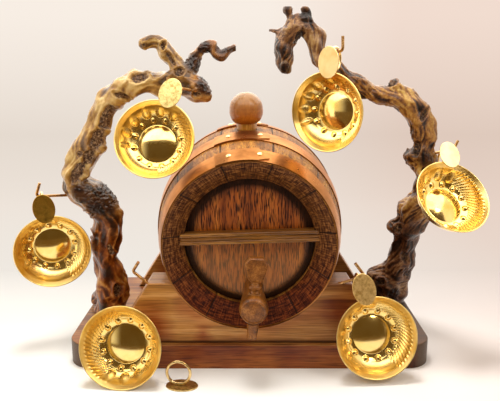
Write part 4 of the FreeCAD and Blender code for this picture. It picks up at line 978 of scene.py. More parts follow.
# %% Tree that presses the pattern
press, source, press_names = group("press a bowl", {
    "Bead Count": "Float", "Bead Ring": "Float", "Bead Radius": "Float", "Bead Height": "Float",
    "Pearl Count": "Float", "Pearl Ring": "Float", "Pearl Radius": "Float", "Pearl Height": "Float",
    "Pearl Middle": "Float", "Pearl Reach": "Float",
    "Flute Count": "Float", "Flute Start": "Float", "Flute End": "Float", "Flute Height": "Float",
    "Flute Slant": "Float", "Flute Spread": "Float", "Material": "Material"})
spot = add(press, "GeometryNodeInputPosition")
axes = add(press, "ShaderNodeSeparateXYZ", {0: (spot, 0)})
turn = add(press, "ShaderNodeMath", {0: (axes, "Y"), 1: (axes, "X")}, operation="ARCTAN2")
level = add(press, "ShaderNodeVectorMath", {0: (spot, 0), 1: (1, 1, 0)}, operation="MULTIPLY")
reach = add(press, "ShaderNodeVectorMath", {0: (level, 0)}, operation="LENGTH")
print("tree", press.name, "inputs", len(press_names))


# %% Beads and pearls
def row_of_domes(label):
    """Height of equal round domes on a circle, sized by the tree's inputs of that name."""
    share = add(press, "ShaderNodeMath", {0: 2 * math.pi, 1: (source, label + " Count")}, operation="DIVIDE")
    steps = add(press, "ShaderNodeMath", {0: (turn, 0), 1: (share, 0)}, operation="DIVIDE")
    nearest = add(press, "ShaderNodeMath", {0: (steps, 0)}, operation="ROUND")
    off = add(press, "ShaderNodeMath", {0: (steps, 0), 1: (nearest, 0)}, operation="SUBTRACT")
    angle = add(press, "ShaderNodeMath", {0: (off, 0), 1: (share, 0)}, operation="MULTIPLY")
    across = add(press, "ShaderNodeMath", {0: (angle, 0), 1: (reach, 1)}, operation="MULTIPLY")
    along = add(press, "ShaderNodeMath", {0: (reach, 1), 1: (source, label + " Ring")}, operation="SUBTRACT")
    flat = add(press, "ShaderNodeCombineXYZ", {0: (across, 0), 1: (along, 0)})
    away = add(press, "ShaderNodeVectorMath", {0: (flat, 0)}, operation="LENGTH")
    part = add(press, "ShaderNodeMath", {0: (away, 1), 1: (source, label + " Radius")}, operation="DIVIDE")
    fall = add(press, "ShaderNodeMath", {0: (part, 0), 1: (part, 0)}, operation="MULTIPLY")
    cap = add(press, "ShaderNodeMath", {0: 1.0, 1: (fall, 0)}, operation="SUBTRACT", use_clamp=True)
    return add(press, "ShaderNodeMath", {0: (cap, 0), 1: (source, label + " Height")}, operation="MULTIPLY")


# a pattern fades out over this angle (radians), and flutes rise over this length
FADE, RUN_IN = 0.12, 1.6 * MM
beads, pearls = row_of_domes("Bead"), row_of_domes("Pearl")
from_middle = add(press, "ShaderNodeMath", {0: (turn, 0), 1: (source, "Pearl Middle")}, operation="SUBTRACT")
nearness = add(press, "ShaderNodeMath", {0: (from_middle, 0)}, operation="COSINE")
reach_end = add(press, "ShaderNodeMath", {0: (source, "Pearl Reach"), 1: FADE}, operation="ADD")
low_cosine = add(press, "ShaderNodeMath", {0: (reach_end, 0)}, operation="COSINE")
high_cosine = add(press, "ShaderNodeMath", {0: (source, "Pearl Reach")}, operation="COSINE")
rest = add(press, "ShaderNodeMapRange", {0: (nearness, 0), 1: (low_cosine, 0), 2: (high_cosine, 0)})
side_pearls = add(press, "ShaderNodeMath", {0: (pearls, 0), 1: (rest, 0)}, operation="MULTIPLY")
print("nodes with beads and pearls", len(press.nodes))

# %% Flutes
aside = add(press, "ShaderNodeMath", {0: (turn, 0)}, operation="ABSOLUTE")
spread_end = add(press, "ShaderNodeMath", {0: (source, "Flute Spread"), 1: FADE}, operation="ADD")
fan = add(press, "ShaderNodeMapRange", {0: (aside, 0), 1: (source, "Flute Spread"), 2: (spread_end, 0),
          3: 1.0, 4: 0.0}, interpolation_type="SMOOTHSTEP")
past = add(press, "ShaderNodeMath", {0: (reach, 1), 1: (source, "Flute Start")}, operation="SUBTRACT")
slant = add(press, "ShaderNodeMath", {0: (past, 0), 1: (source, "Flute Slant")}, operation="MULTIPLY")
slid = add(press, "ShaderNodeMath", {0: (turn, 0), 1: (slant, 0)}, operation="ADD")
phase = add(press, "ShaderNodeMath", {0: (slid, 0), 1: (source, "Flute Count")}, operation="MULTIPLY")
wave = add(press, "ShaderNodeMath", {0: (phase, 0)}, operation="COSINE")
start_in = add(press, "ShaderNodeMath", {0: (source, "Flute Start"), 1: RUN_IN}, operation="ADD")
end_in = add(press, "ShaderNodeMath", {0: (source, "Flute End"), 1: -RUN_IN}, operation="ADD")
rise = add(press, "ShaderNodeMapRange", {0: (reach, 1), 1: (source, "Flute Start"), 2: (start_in, 0)},
           interpolation_type="SMOOTHSTEP")
set_down = add(press, "ShaderNodeMapRange", {0: (reach, 1), 1: (end_in, 0), 2: (source, "Flute End"),
               3: 1.0, 4: 0.0}, interpolation_type="SMOOTHSTEP")
window = add(press, "ShaderNodeMath", {0: (rise, 0), 1: (set_down, 0)}, operation="MULTIPLY")
fanned = add(press, "ShaderNodeMath", {0: (window, 0), 1: (fan, 0)}, operation="MULTIPLY")
deep = add(press, "ShaderNodeMath", {0: (fanned, 0), 1: (source, "Flute Height")}, operation="MULTIPLY")
flutes = add(press, "ShaderNodeMath", {0: (wave, 0), 1: (deep, 0)}, operation="MULTIPLY")
print("nodes with flutes", len(press.nodes))

# %% Add the heights and move the skin
domes = add(press, "ShaderNodeMath", {0: (beads, 0), 1: (side_pearls, 0)}, operation="ADD")
height = add(press, "ShaderNodeMath", {0: (domes, 0), 1: (flutes, 0)}, operation="ADD")
facing = add(press, "GeometryNodeInputNormal")
shift = add(press, "ShaderNodeVectorMath", {0: (facing, 0), "Scale": (height, 0)}, operation="SCALE")
pressed = add(press, "GeometryNodeSetPosition", {"Geometry": (source, 0), "Offset": (shift, 0)})
close_group(press, (pressed, 0), source)
print("nodes in all", len(press.nodes))

# %% [markdown]
# ### One bowl
# The tree runs with the sizes of a real cup, and Solidify gives the sheet its thickness, which is
# simpler than drawing both sides. An attribute called satin says how far a point is from the
# polished dome: 0 on it, 0.4 on the floor, and up to 1 on the wall.

# %% Press one bowl and give it its wall
pattern_sizes = {
    "Bead Count": 12, "Bead Ring": 25.2 * MM, "Bead Radius": 3.3 * MM, "Bead Height": 2.1 * MM,
    "Pearl Count": 14, "Pearl Ring": 33.0 * MM, "Pearl Radius": 5.0 * MM, "Pearl Height": 1.7 * MM,
    "Pearl Middle": math.radians(137), "Pearl Reach": math.radians(66),
    "Flute Count": 56, "Flute Start": 27.2 * MM, "Flute End": 39.0 * MM, "Flute Height": 0.72 * MM,
    "Flute Slant": 33.0, "Flute Spread": math.radians(64), "Material": cup_brass}
bowl = run_group(skin, press, press_names, pattern_sizes, "pressed_bowl")
sheet_wall = bowl.modifiers.new("sheet", "SOLIDIFY")
sheet_wall.thickness = CUP_WALL
sheet_wall.offset = -1.0
sheet_wall.use_even_offset = True
bowl = finished(bowl, "bowl_pattern")
bowl.data.polygons.foreach_set("use_smooth", [True] * len(bowl.data.polygons))
from_axis = np.array([math.hypot(v.co.x, v.co.y) for v in bowl.data.vertices])
on_floor = np.clip((from_axis - DOME_RADIUS) / (2 * MM), 0, 1)
on_wall = np.clip(from_axis / MM / 6 - 4.7, 0, 1)
bowl.data.attributes.new("satin", "FLOAT", "POINT").data.foreach_set("value", 0.4 * on_floor + 0.6 * on_wall)
print("bowl faces", len(bowl.data.polygons))

# %% [markdown]
# ### Six bowls in their places
# A cup hangs by its ring from a wire, so its place is worked out from the wire: down by the play
# of the ring, then along the handle to the bowl. Each bowl is a copy of the one mesh, since all
# six came from one die, and rides on its own body, so that it can swing.

# %% Where the cups hang
RING_OUT, RING_DEPTH, HANG_DROP = 54.8 * MM, 13.15 * MM, 8.0 * MM
# place in mm (of the wire or, for the loose cup, of the rim's centre), bearing, tilt and lean
CUPS = {
    "cup_top_left": ((-80, -51.5, 296.5), -1, 20, 18), "cup_mid_left": ((-232.5, -46.5, 176), 17, -3, -7),
    "cup_top_right": ((90, -58.5, 333.5), -35, 0.1, 2), "cup_mid_right": ((219.5, -33.5, 224.5), 17, 38, 14),
    "cup_low_right": ((113, -114.5, 103), 5, 14.5, -14),
    "cup_loose": ((-130.4, -150.218, 41.238), -5, 14, -170),
}


def cup_frame(name):
    """Matrix of a cup: +Z out of its mouth and +Y towards its handle."""
    spot, bearing, tilt, lean = CUPS[name]
    b, t, k = (math.radians(v) for v in (bearing, tilt, lean))
    out = Vector((math.sin(b) * math.cos(t), -math.cos(b) * math.cos(t), math.sin(t)))
    level_side = Vector((math.cos(b), math.sin(b), 0))
    handle = out.cross(level_side) * math.cos(k) + level_side * math.sin(k)
    side = handle.cross(out)
    centre = Vector(spot) * MM
    if name != "cup_loose":
        up = (Vector((0, 0, 1)) - side * side.z).normalized()
        centre += -up * HANG_DROP - handle * RING_OUT + out * RING_DEPTH
    return Matrix.Translation(centre) @ Matrix((side, handle, out)).transposed().to_4x4()


print("cups", len(CUPS))

# %% Set the six bowls
for name in CUPS:
    piece = bpy.data.objects.new(name + "_pressed_bowl", bowl.data.copy())
    bpy.context.scene.collection.objects.link(piece)
    to_stand(piece, cup_frame(name))
    low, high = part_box(name + "_bowl")
    points = np.array([v.co for v in piece.data.vertices])
    print(name, "off the packed bowl by", [round(float(v), 2) for v in
          ((points.min(0) + points.max(0)) / 2 - (np.array(low) + np.array(high)) / 2) / MM], "mm")
    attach(piece, name)
    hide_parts(name + "_bowl")
bpy.data.objects.remove(bowl)

# %% [markdown]
# ## Vine limbs
# Two old vine stems, stripped of most of their bark and varnished. They swell and pinch, twist as they go,
# and have hollows where the heartwood has rotted, each with a raised lip. The stations below are listed from
# the foot upwards: where the middle of the limb runs and how thick it is there. A vine could be sculpted
# freely, but stations can be changed one by one and still be read a year later.

# %% Stations of the left vine
# x, y, z and radius in millimetres
left_limbs = {
    "trunk": [(-172, -10, 26.5, 19.5), (-169, -9, 40, 19), (-166, -10, 54, 18), (-167, -11, 71, 17),
              (-172, -13, 88, 15), (-174, -15, 106, 14.3), (-166, -17, 131, 16.5), (-166, -18, 153, 19.3),
              (-183, -20, 171, 21), (-200, -21, 181, 19.7), (-203, -22, 197, 16.2), (-189, -24, 213, 16),
              (-182, -25, 227, 16), (-175, -25, 247, 12.4), (-167, -25, 266, 13.5), (-156, -25, 282, 14.5),
              (-143, -25, 293, 14), (-125, -24, 302, 14), (-107, -24, 300, 12.8), (-93, -23, 299, 13.3),
              (-78, -22, 304, 14.5), (-67, -22, 311, 12)],
    "knob": [(-82, -22, 307, 12), (-72, -23, 301, 15), (-61, -25, 294, 15.5), (-53, -26, 290, 12.5),
             (-47, -27, 287, 6)],
    "limb a": [(-72, -22, 308, 11), (-84, -22, 322, 9), (-91, -23, 332, 9.4), (-95, -24, 342, 9.6),
               (-104, -25, 346, 7.7), (-116, -27, 341, 7.4)],
    "limb b": [(-72, -22, 306, 11), (-64, -20, 317, 8.9), (-61, -19, 329, 6.7), (-56, -18, 337, 6.7),
               (-46, -18, 341, 6.5), (-39, -18, 335, 6), (-31, -18, 329, 5.6), (-24, -18, 335, 5.3),
               (-17, -18, 338, 4.8)],
    "root": [(-166, -10, 48, 14), (-178, -2, 42, 12), (-193, 6, 36, 8)],
}
print("limbs of the left vine", len(left_limbs))

# %% Stations of the right vine
right_limbs = {
    "trunk": [(176, 22, 26.5, 20.3), (177, 21, 46, 22.5), (184, 17, 68, 19.5), (187, 12, 85, 16.8),
              (190, 7, 101, 13.2), (189, 0, 122, 15.6), (192, -6, 142, 19.7), (199, -13, 159, 16),
              (204, -30.5, 187, 12.2), (200, -33, 205, 13.4), (193, -29, 220, 16.8), (197, -30, 236, 10.8),
              (194, -31, 250, 15.2), (185, -32, 268, 11.4), (168, -32, 287, 14), (147, -32, 285, 9.4),
              (134, -32, 289, 10), (119, -32, 298, 11), (106, -33, 306, 10), (88, -34, 314, 9.8),
              (77, -34, 325, 9.4), (74, -34, 339, 9.7), (70, -34, 355, 9.3), (60, -34, 366, 9.8),
              (49, -34, 361, 12.5), (40, -34, 352, 13), (38, -34, 339, 12), (37, -34, 325, 10.5),
              (38.5, -34, 314, 7)],
    "lump": [(180, 20, 40, 17), (169, 21, 45, 16.5), (154, 21, 53, 13)],
    "shoulder": [(186, 16, 62, 17), (174, 18, 64, 16), (162, 19, 60, 14), (152, 20, 57, 10)],
    "bulge": [(192, -2, 124, 15), (184, -2, 128, 14), (172, -2, 134, 8.5)],
    "knob": [(198, -28, 220, 15), (192, -28, 218, 14), (184, -28, 216, 10)],
    "crest": [(170, -32, 284, 12), (165, -32, 290, 10), (158, -32, 299, 6)],
    "spur": [(64, -34, 360, 8), (62, -34, 370, 6), (59, -34, 377, 3.4)],
    "stub": [(46, -34, 358, 5), (43, -34, 370, 3), (40.5, -34, 380, 2.7)],
    "peg": [(42, -34, 354, 4.4), (32, -34, 355, 3), (21, -34, 356, 2.7)],
}
print("limbs of the right vine", len(right_limbs))

# %% [markdown]
# ### Skin over the stations
# Each station gets a ring of control points with uneven swellings, and a smooth skin is drawn over
# the rings. It is the B-spline of Blender's surface objects, worked out here with its weights, so
# that the middle line of each limb is known too. Blender's Skin modifier would be quicker, but it
# can't swell a limb to one side.

# %% Weights of a smooth curve
def blend_weights(places, knots, count):
    """Cubic (or lower) B-spline weights of `count` poles at each place."""
    order = len(knots) - count
    weights = np.array([[1.0 if a <= p < b else 0.0 for a, b in zip(knots, knots[1:])] for p in places])
    for degree in range(1, order):
        columns = []
        for i in range(len(knots) - 1 - degree):
            left = knots[i + degree] - knots[i]
            right = knots[i + degree + 1] - knots[i + 1]
            value = np.zeros(len(places))
            if left:
                value = value + (places - knots[i]) / left * weights[:, i]
            if right:
                value = value + (knots[i + degree + 1] - places) / right * weights[:, i + 1]
            columns.append(value)
        weights = np.array(columns).T
    return weights


print("weights half way", blend_weights(np.array([0.5]), np.array([0, 0, 1, 1.0]), 2)[0])

# %% Skin of a limb
POLES_ROUND, SWELL = 9, 0.085


def limb_skin(stations, ground, around=72, spacing=1.3):
    """Grid of points (ring, place in ring) on a limb, in millimetres, and its middle line."""
    stations = np.array(stations, float)
    middle, radius = stations[:, :3], stations[:, 3]
    last = len(stations) - 1
    shrink = (2 + math.cos(2 * math.pi / POLES_ROUND)) / 3
    poles = []
    for number in range(last + 1):
        ahead = middle[min(number + 1, last)] - middle[max(number - 1, 0)]
        ahead = ahead / np.linalg.norm(ahead)
        if number == 0 and abs(middle[0][2] - ground) < 0.01:
            ahead = np.array([0, 0, 1.0])
        across = np.array([0, 1.0, 0]) - ahead * ahead[1]
        across /= np.linalg.norm(across)
        up = np.cross(ahead, across)
        ring = []
        for corner in range(POLES_ROUND):
            turn = 2 * math.pi * corner / POLES_ROUND
            lobe = math.cos(2 * turn + 0.7 * number) + 0.8 * math.cos(3 * turn - 1.1 * number)
            reach = radius[number] * (1 + SWELL * lobe) / shrink
            ring.append(middle[number] + across * reach * math.cos(turn) + up * reach * math.sin(turn))
        poles.append(ring)
    poles = np.array(poles)
    degree = min(3, last)
    knots = np.array([0] * degree + list(range(last - degree + 2)) + [last - degree + 1] * degree, float)
    length = np.linalg.norm(np.diff(middle, axis=0), axis=1).sum()
    places = np.linspace(0, knots[-1] - 1e-9, int(length / spacing) + 2)
    along = blend_weights(places, knots, last + 1)
    turns = np.arange(around) * POLES_ROUND / around
    wrapped = np.arange(-3, POLES_ROUND + 4, dtype=float)
    around_weights = blend_weights(turns, wrapped, POLES_ROUND + 3)
    closed = np.zeros((around, POLES_ROUND))
    for column in range(POLES_ROUND + 3):
        closed[:, column % POLES_ROUND] += around_weights[:, column]
    grid = np.einsum("si,tj,ijk->stk", along, closed, poles)
    return grid, along @ middle


print("control points round a limb", POLES_ROUND)


# %% Mesh of a limb
# how far round the dome each ring of the tip lies, in radians
TIP_TURNS, TIP_REACH = (0.4, 0.8, 1.15, 1.4), 0.55


def limb_mesh(name, grid):
    """Closed mesh of a limb: its skin, a rounded tip, and a fan at each end."""
    tip, before = grid[-1].mean(0), grid[-2].mean(0)
    ahead = (tip - before) / np.linalg.norm(tip - before)
    reach = np.linalg.norm(grid[-1] - tip, axis=1).mean()
    domed = [tip + (grid[-1] - tip) * math.cos(turn) + ahead * TIP_REACH * reach * math.sin(turn)
             for turn in TIP_TURNS]
    grid = np.concatenate([grid, np.array(domed)])
    rings, around = grid.shape[:2]
    points = [tuple(p) for p in grid.reshape(-1, 3) * MM]
    faces = [(i * around + j, i * around + (j + 1) % around, (i + 1) * around + (j + 1) % around,
              (i + 1) * around + j) for i in range(rings - 1) for j in range(around)]
    for ring in (0, rings - 1):
        points.append(tuple(grid[ring].mean(0) * MM))
        faces += [(ring * around + j, ring * around + (j + 1) % around, len(points) - 1)
                  for j in range(around)]
    return mesh_piece(name, points, faces)


print("rings on a limb's rounded tip", len(TIP_TURNS))

# %% [markdown]
# ### Melting the limbs together
# The limbs of one vine grow out of each other. A Boolean would leave a hard line where they meet.
# A voxel remesh builds one even skin over all of them, with soft crotches and enough vertices for
# the bark.

# %% Melt
BOARD_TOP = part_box("base_board")[1][2] / MM
VOXEL = 1.15 * MM


def melted(name, limbs):
    """All limbs of a vine in one skin, with the middle line of every limb."""
    parts, lines = [], []
    for label, stations in limbs.items():
        grid, middle = limb_skin(stations, BOARD_TOP)
        parts.append(limb_mesh(name + "_" + label.replace(" ", "_"), grid))
        lines.append(middle)
    shape = bmesh.new()
    for part in parts:
        shape.from_mesh(part.data)
        bpy.data.objects.remove(part)
    data = bpy.data.meshes.new(name)
    shape.to_mesh(data)
    shape.free()
    joined = bpy.data.objects.new(name, data)
    bpy.context.scene.collection.objects.link(joined)
    melt = joined.modifiers.new("melt", "REMESH")
    melt.mode = "VOXEL"
    melt.voxel_size = VOXEL
    return finished(joined, name), lines


left_vine, left_lines = melted("left_vine", left_limbs)
right_vine, right_lines = melted("right_vine", right_limbs)
print("melted skins", len(left_vine.data.vertices), "and", len(right_vine.data.vertices), "vertices")

# %% [markdown]
# ### Bark
# Old wood grows in long cords that turn slowly round the limb. Ridged noise, stretched along the run and
# wrapped round it, gives the cords. A finer noise roughens them, and a broad one makes the limb knobby.
# Hollows are given as ovals seen from the front: each is pressed in, left ragged inside and given a lip.
# Burls are knots of tangled grain, raised in short spikes. A bump in the material could fake all this, but
# only real relief changes the limb's outline. What was done at each point is stored in attributes, so that
# the wood can be coloured by it.

# %% Where a point lies on its limb
from mathutils.kdtree import KDTree

SIDE = Vector((0.0, 1.0, 0.0))


def smooth_step(value, low, high):
    """0 below `low`, 1 above `high`, and a soft rise between them."""
    t = min(max((value - low) / (high - low), 0.0), 1.0)
    return t * t * (3 - 2 * t)


def limb_finder(lines):
    """A search over the middle lines' points, with the line, heading and run of each."""
    marks = []
    for number, line in enumerate(lines):
        steps = np.gradient(line, axis=0)
        steps /= np.linalg.norm(steps, axis=1)[:, None]
        run = np.concatenate([[0], np.cumsum(np.linalg.norm(np.diff(line, axis=0), axis=1))])
        marks += [(tuple(p), number, Vector(ahead), r) for p, ahead, r in zip(line, steps, run)]
    finder = KDTree(len(marks))
    for index, mark in enumerate(marks):
        finder.insert(mark[0], index)
    finder.balance()
    return finder, marks


print("a smooth step, a quarter of the way up:", smooth_step(0.25, 0, 1))


# %% Cords and roughness of the bark
# the millimetres over which each noise makes one change
WANDER_MM, RUN_MM, PATCH_MM, FINE_MM, KNOB_MM = 19, 34, 27, 3.2, 15
LEAST_REACH = 4.0


def cords_at(p, limb, cord_mm, twist, seed):
    """How high the long cords stand at a point: about 1 on a crest and below 0 between two."""
    finder, marks = limb
    spot, index, _ = finder.find(p)
    _, number, ahead, run = marks[index]
    across = (SIDE - ahead * SIDE.dot(ahead)).normalized()
    away = p - spot
    turn = math.atan2(away.dot(ahead.cross(across)), away.dot(across)) + run * twist
    around = max(away.length, LEAST_REACH) / cord_mm
    wander = noise.noise(p / WANDER_MM + Vector((seed, 0, 0)))
    wrapped = Vector((math.cos(turn) * around + wander, math.sin(turn) * around,
                      run / RUN_MM + seed + number))
    broad, narrow = (1 - abs(noise.noise(wrapped * size)) * 2.2 for size in (1.0, 2.3))
    return broad + 0.35 * narrow


def bark_at(p, cords, cord_depth, knobby, grit, seed):
    """Height of the bark in millimetres, and its fine noise alone."""
    patch = smooth_step(noise.noise(p / PATCH_MM + Vector((0, seed, 0))), -0.25, 0.3)
    fine = noise.fractal(p / FINE_MM, 0.9, 2.1, 3)
    height = (cords - 0.7) * cord_depth * (0.45 + 0.75 * patch) + fine * grit * (0.4 + patch)
    return height + knobby * noise.noise(p / KNOB_MM + Vector((seed, seed, 0))), fine


print("cords change every", RUN_MM, "mm along a limb")


# %% Hollows and burls
ROT_MM, SPIKE_MM, RAGGED_MM = 2.6, 4.2, 4


def press_hollows(p, height, hollows, seed):
    """Height after the hollows are pressed in, and how far the point is inside one and on a lip."""
    hollow, rim = 0.0, 0.0
    for x, z, long, short, tilt, depth in hollows:
        dx, dz = p.x - x, p.z - z
        if abs(dx) > long * 2 or abs(dz) > long * 2:
            continue
        c, s = math.cos(math.radians(tilt)), math.sin(math.radians(tilt))
        ragged = 0.16 * noise.noise(p / RAGGED_MM + Vector((seed, seed, 0)))
        d = math.hypot((dx * c + dz * s) / long, (-dx * s + dz * c) / short) + ragged
        inside = 1 - smooth_step(d, 0.7, 1.02)
        lip = math.exp(-((d - 1.2) / 0.2) ** 2)
        rot = noise.turbulence(p / ROT_MM, 3, False)
        height = height * (1 - inside) + inside * (-depth + 1.7 * rot) + lip * min(0.42 * depth, 1.8)
        hollow, rim = max(hollow, inside), max(rim, lip)
    return height, hollow, rim


def raise_burls(p, height, burls, seed):
    """Height after the burls, and how far inside one the point is."""
    burl = 0.0
    for x, z, size, spikes in burls:
        d = math.hypot(p.x - x, p.z - z) / size
        if d < 1.3:
            here = 1 - smooth_step(d, 0.6, 1.25)
            spiky = noise.turbulence(p / SPIKE_MM + Vector((seed, 0, 2)), 3, True)
            height = height * (1 - here) + here * spikes * (spiky * 1.5 - 0.55)
            burl = max(burl, here)
    return height, burl


print("rot is crumbled in bits of", ROT_MM, "mm")


# %% Carving
FOOT_START, FOOT_END = BOARD_TOP + 0.7, BOARD_TOP + 6.5
FACES_BACK = 0.25


def carve(piece, box, lines, hollows, burls, cord_mm, cord_depth, knobby, grit, twist, seed):
    """Move every vertex by the bark's height, inside `box`, and store `hollow`, `ridge` and `burl`."""
    limb, data = limb_finder(lines), piece.data
    count = len(data.vertices)
    flat = np.zeros(count * 3)
    data.vertices.foreach_get("co", flat)
    points = flat.reshape(-1, 3) / MM
    data.vertex_normals.foreach_get("vector", flat)
    normals = flat.reshape(-1, 3)
    heights, hollow, ridge, burl = (np.zeros(count) for _ in range(4))
    for v in range(count):
        p = Vector(points[v])
        cords = cords_at(p, limb, cord_mm, twist, seed)
        height, fine = bark_at(p, cords, cord_depth, knobby, grit, seed)
        seen = hollows if normals[v][1] <= FACES_BACK else []
        height, hollow[v], rim = press_hollows(p, height, seen, seed)
        height, burl[v] = raise_burls(p, height, burls, seed)
        # ridge also holds the lips of the hollows, so the wood paints them with a pale painted highlight
        ridge[v] = min(max(cords * 0.55 + fine * 0.15, 0.5 * rim, 0.0), 1.0)
        heights[v] = height * smooth_step(p.z, FOOT_START, FOOT_END)
    points = np.clip(points + normals * heights[:, None], np.array(box[0]) / MM, np.array(box[1]) / MM)
    data.vertices.foreach_set("co", (points * MM).ravel())
    for name, values in (("hollow", hollow), ("ridge", ridge), ("burl", burl)):
        data.attributes.new(name, "FLOAT", "POINT").data.foreach_set("value", values)
    data.update()
    print(piece.name, count, "vertices, carved", round(heights.min(), 1), "to", round(heights.max(), 1), "mm")


# %% Hollows and burls of the left vine
# x, z, long and short radius, tilt of the long axis, depth
left_hollows = [
    (-94.5, 340, 5.5, 3.6, 70, 5.0), (-86, 326, 10, 2.6, -58, 2.4), (-76.8, 312.4, 6.0, 5.0, 20, 2.6),
    (-120.7, 306.4, 10.5, 6.6, 12, 4.0), (-140.6, 286.7, 9.0, 3.6, -18, 3.2), (-158.0, 262, 18, 8.2, 62, 3.8),
    (-170, 238, 15, 8.0, 70, 3.4), (-190, 222.4, 4.4, 3.8, 0, 3.0), (-194, 201, 16, 7.4, 58, 3.8),
    (-180, 219, 11, 6.0, 60, 3.2), (-183.3, 153.5, 7.5, 3.2, -8, 6.0), (-184, 125.1, 3.0, 4.6, 0, 4.0),
    (-157.3, 56.3, 5.0, 9.0, 0, 6.0), (-57.7, 288.4, 5.6, 4.4, 30, 4.0), (-115, 340.6, 1.9, 1.7, 0, 3.5),
    (-163, 108, 3.2, 12, 12, 1.8)]
# x, z, radius and height of the spikes
left_burls = [(-169, 168, 19, 2.4), (-190, 178, 14, 1.6), (-163, 184, 9, 3.0), (-47, 298, 13, 1.8),
              (-31, 337, 8, 1.2), (-63, 322, 12, 1.4), (-50, 338, 9, 1.4)]
carve(left_vine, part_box("vine_left"), left_lines, left_hollows, left_burls,
      cord_mm=8.0, cord_depth=0.9, knobby=5.0, grit=0.25, twist=0.012, seed=3.0)

# %% Hollows and burls of the right vine
right_hollows = [
    (154.9, 299.7, 7.0, 4.0, 20, 1.8), (190.7, 266, 8.0, 3.0, 60, 1.8), (186, 228, 10, 4.0, 80, 2.0),
    (176, 129, 5.0, 6.0, 0, 2.4), (161.4, 56.7, 6.0, 4.5, 30, 3.0), (188, 92, 5.0, 8.0, 20, 2.2),
    (52, 350, 9, 4.0, 60, 2.4), (196, 206, 6, 4, 30, 2.0)]
right_burls = [(150, 300, 6, 1.6), (178, 44, 9, 2.0), (58, 371, 6, 1.6), (38, 316, 7, 1.6),
               (196, 216, 10, 1.2)]
carve(right_vine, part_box("vine_right"), right_lines, right_hollows, right_burls,
      cord_mm=4.2, cord_depth=1.3, knobby=5.6, grit=0.5, twist=-0.02, seed=11.0)

# %% [markdown]
# ### Vine wood
# The left vine is the lighter one: golden tan where it has been peeled and varnished, which gives its crests
# a wet shine, turning reddish brown towards the foot. The right one kept more of its bark: it is dark and
# duller, with rusty and golden patches. In both, the bottoms of the cords are darker with stain and painted
# shade, the crests and the lips of the hollows are rubbed pale and carry a painted highlight, burls are
# darker, and the hollows are grey-brown rotted wood with no shine, deepened with painted shade. The colours
# could be painted by hand. They read the carved attributes instead, so they always lie where the relief is.


# %% Vine wood recipe
CLOUD_MM, CRUMB_MM = 32, 2.4


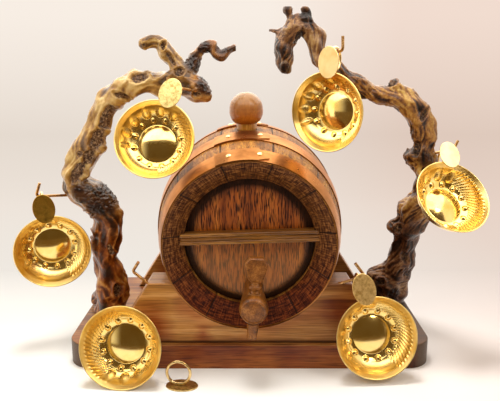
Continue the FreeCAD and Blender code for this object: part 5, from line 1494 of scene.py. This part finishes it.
def vine_wood(name, shades, foot_shades, rot, foot_z, tip_x, seed, gloss, coat, corded, streaky,
              streak_mm, bump_mm):
    """Varnished vine. `shades` and `foot_shades` run from the bottom of the cords to their crests."""
    material, tree, shader = new_material(name)
    spot = add(tree, "ShaderNodeTexCoord")
    ridge = add(tree, "ShaderNodeAttribute", attribute_name="ridge")
    hollow = add(tree, "ShaderNodeAttribute", attribute_name="hollow")
    streak = add(tree, "ShaderNodeTexNoise", {"Vector": (spot, "Object"), "W": seed,
                 "Scale": 1000 / streak_mm, "Detail": 4, "Roughness": 0.65, "Distortion": 1.2},
                 noise_dimensions="4D")
    cloud = add(tree, "ShaderNodeTexNoise", {"Vector": (spot, "Object"), "W": seed + 2,
                "Scale": 1000 / CLOUD_MM, "Detail": 2}, noise_dimensions="4D")
    # painted shade and highlight: the cords are dark at the bottom and pale on the crest
    rise = add(tree, "ShaderNodeMath", {0: (ridge, "Fac"), 1: corded}, operation="MULTIPLY")
    lively = add(tree, "ShaderNodeMath", {0: (streak, 0), 1: streaky, 2: (rise, 0)}, operation="MULTIPLY_ADD")
    height = add(tree, "ShaderNodeMath", {0: (cloud, 0), 1: 0.6, 2: (lively, 0)}, operation="MULTIPLY_ADD")
    middle = 0.3 + corded * 0.36 + streaky / 2
    stops = [middle - 0.16, middle - 0.05, middle + 0.06, middle + 0.2]
    upper = add(tree, "ShaderNodeValToRGB", {0: (height, 0)},
                stops=[(p, colour(c)) for p, c in zip(stops, shades)])
    lower = add(tree, "ShaderNodeValToRGB", {0: (height, 0)},
                stops=[(p, colour(c)) for p, c in zip(stops, foot_shades)])
    split = add(tree, "ShaderNodeSeparateXYZ", {0: (spot, "Object")})
    uneven = add(tree, "ShaderNodeMath", {0: (cloud, 0), 1: 0.09, 2: (split, "Z")}, operation="MULTIPLY_ADD")
    foot = add(tree, "ShaderNodeMapRange", {0: (uneven, 0), 1: foot_z[0], 2: foot_z[1]})
    tip = add(tree, "ShaderNodeMapRange", {0: (split, "X"), 1: tip_x[0], 2: tip_x[1], 3: 0.0, 4: 0.7})
    down = add(tree, "ShaderNodeMath", {0: (foot, 0), 1: (tip, 0)}, operation="MAXIMUM")
    wood = add(tree, "ShaderNodeMix", {0: (down, 0), 6: (upper, 0), 7: (lower, 0)}, data_type="RGBA")
    crumbs = add(tree, "ShaderNodeTexNoise", {"Vector": (spot, "Object"), "W": seed + 4,
                 "Scale": 1000 / CRUMB_MM, "Detail": 3, "Roughness": 0.7}, noise_dimensions="4D")
    # rotted wood in the hollows, darkened with painted shade
    rot_and_painted_shade = add(tree, "ShaderNodeValToRGB", {0: (crumbs, 0)},
                 stops=[(p, colour(c)) for p, c in zip((0.38, 0.52, 0.66), rot)])
    deep = add(tree, "ShaderNodeMapRange", {0: (hollow, "Fac"), 1: 0.25, 2: 0.75})
    burl = add(tree, "ShaderNodeAttribute", attribute_name="burl")
    knurl = add(tree, "ShaderNodeMix", {0: (burl, "Fac"), 6: (wood, 2), 7: colour("#6C5648")},
                data_type="RGBA", blend_type="MULTIPLY")
    both = add(tree, "ShaderNodeMix", {0: (deep, 0), 6: (knurl, 2), 7: (rot_and_painted_shade, 0)}, data_type="RGBA")
    shine = add(tree, "ShaderNodeMapRange", {0: (deep, 0), 3: gloss, 4: 0.75})
    relief = add(tree, "ShaderNodeBump", {"Height": (streak, 0), "Strength": 0.7, "Distance": bump_mm * MM})
    gritty = add(tree, "ShaderNodeBump", {"Height": (crumbs, 0), "Strength": 0.5, "Distance": 0.5 * MM,
                 "Normal": (relief, 0)})
    shader.inputs["Coat Weight"].default_value = coat
    shader.inputs["Coat Roughness"].default_value = 0.15
    shader.inputs["Specular IOR Level"].default_value = 0.25
    feed(tree, (both, 2), shader, "Base Color")
    feed(tree, (shine, 0), shader, "Roughness")
    feed(tree, (gritty, 0), shader, "Normal")
    return material


print("tone drifts over", CLOUD_MM, "mm, and rot crumbles over", CRUMB_MM, "mm")

# %% Two vine woods
peeled_vine = vine_wood(
    "peeled_and_varnished_vine", shades=["#4E3214", "#80592A", "#AA8240", "#D0B276"],
    foot_shades=["#2A1206", "#5A2A0C", "#8C4A16", "#C28A40"], rot=["#2C180C", "#6A4A30", "#B0906A"],
    foot_z=(0.255, 0.165), tip_x=(-0.072, -0.056), seed=2.0, gloss=0.36, coat=0.35, corded=0.42,
    streaky=0.1, streak_mm=7, bump_mm=0.3)
barked_vine = vine_wood(
    "dark_barked_vine", shades=["#1E1008", "#5A3418", "#96662C", "#C09A50"],
    foot_shades=["#1C0E08", "#3E2212", "#6A442A", "#9C7A54"], rot=["#160B06", "#3C2414", "#80603C"],
    foot_z=(0.235, 0.16), tip_x=(0.115, 0.07), seed=9.0, gloss=0.32, coat=0.15, corded=0.4,
    streaky=0.22, streak_mm=2.6, bump_mm=0.8)
print("made", peeled_vine.name, "and", barked_vine.name)

# %% Dress and place the vines
for vine, wood, node in ((left_vine, peeled_vine, "vine_left"), (right_vine, barked_vine, "vine_right")):
    vine.data.materials.clear()
    vine.data.materials.append(wood)
    vine.data.polygons.foreach_set("use_smooth", [True] * len(vine.data.polygons))
    low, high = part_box(node)
    points = np.array([v.co for v in vine.data.vertices])
    print(node, "over its packed box by", [round(float(v), 2) for v in (np.array(low) - points.min(0)) / MM],
          [round(float(v), 2) for v in (points.max(0) - np.array(high)) / MM], "mm")
    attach(vine, "stand")
    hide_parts(node)
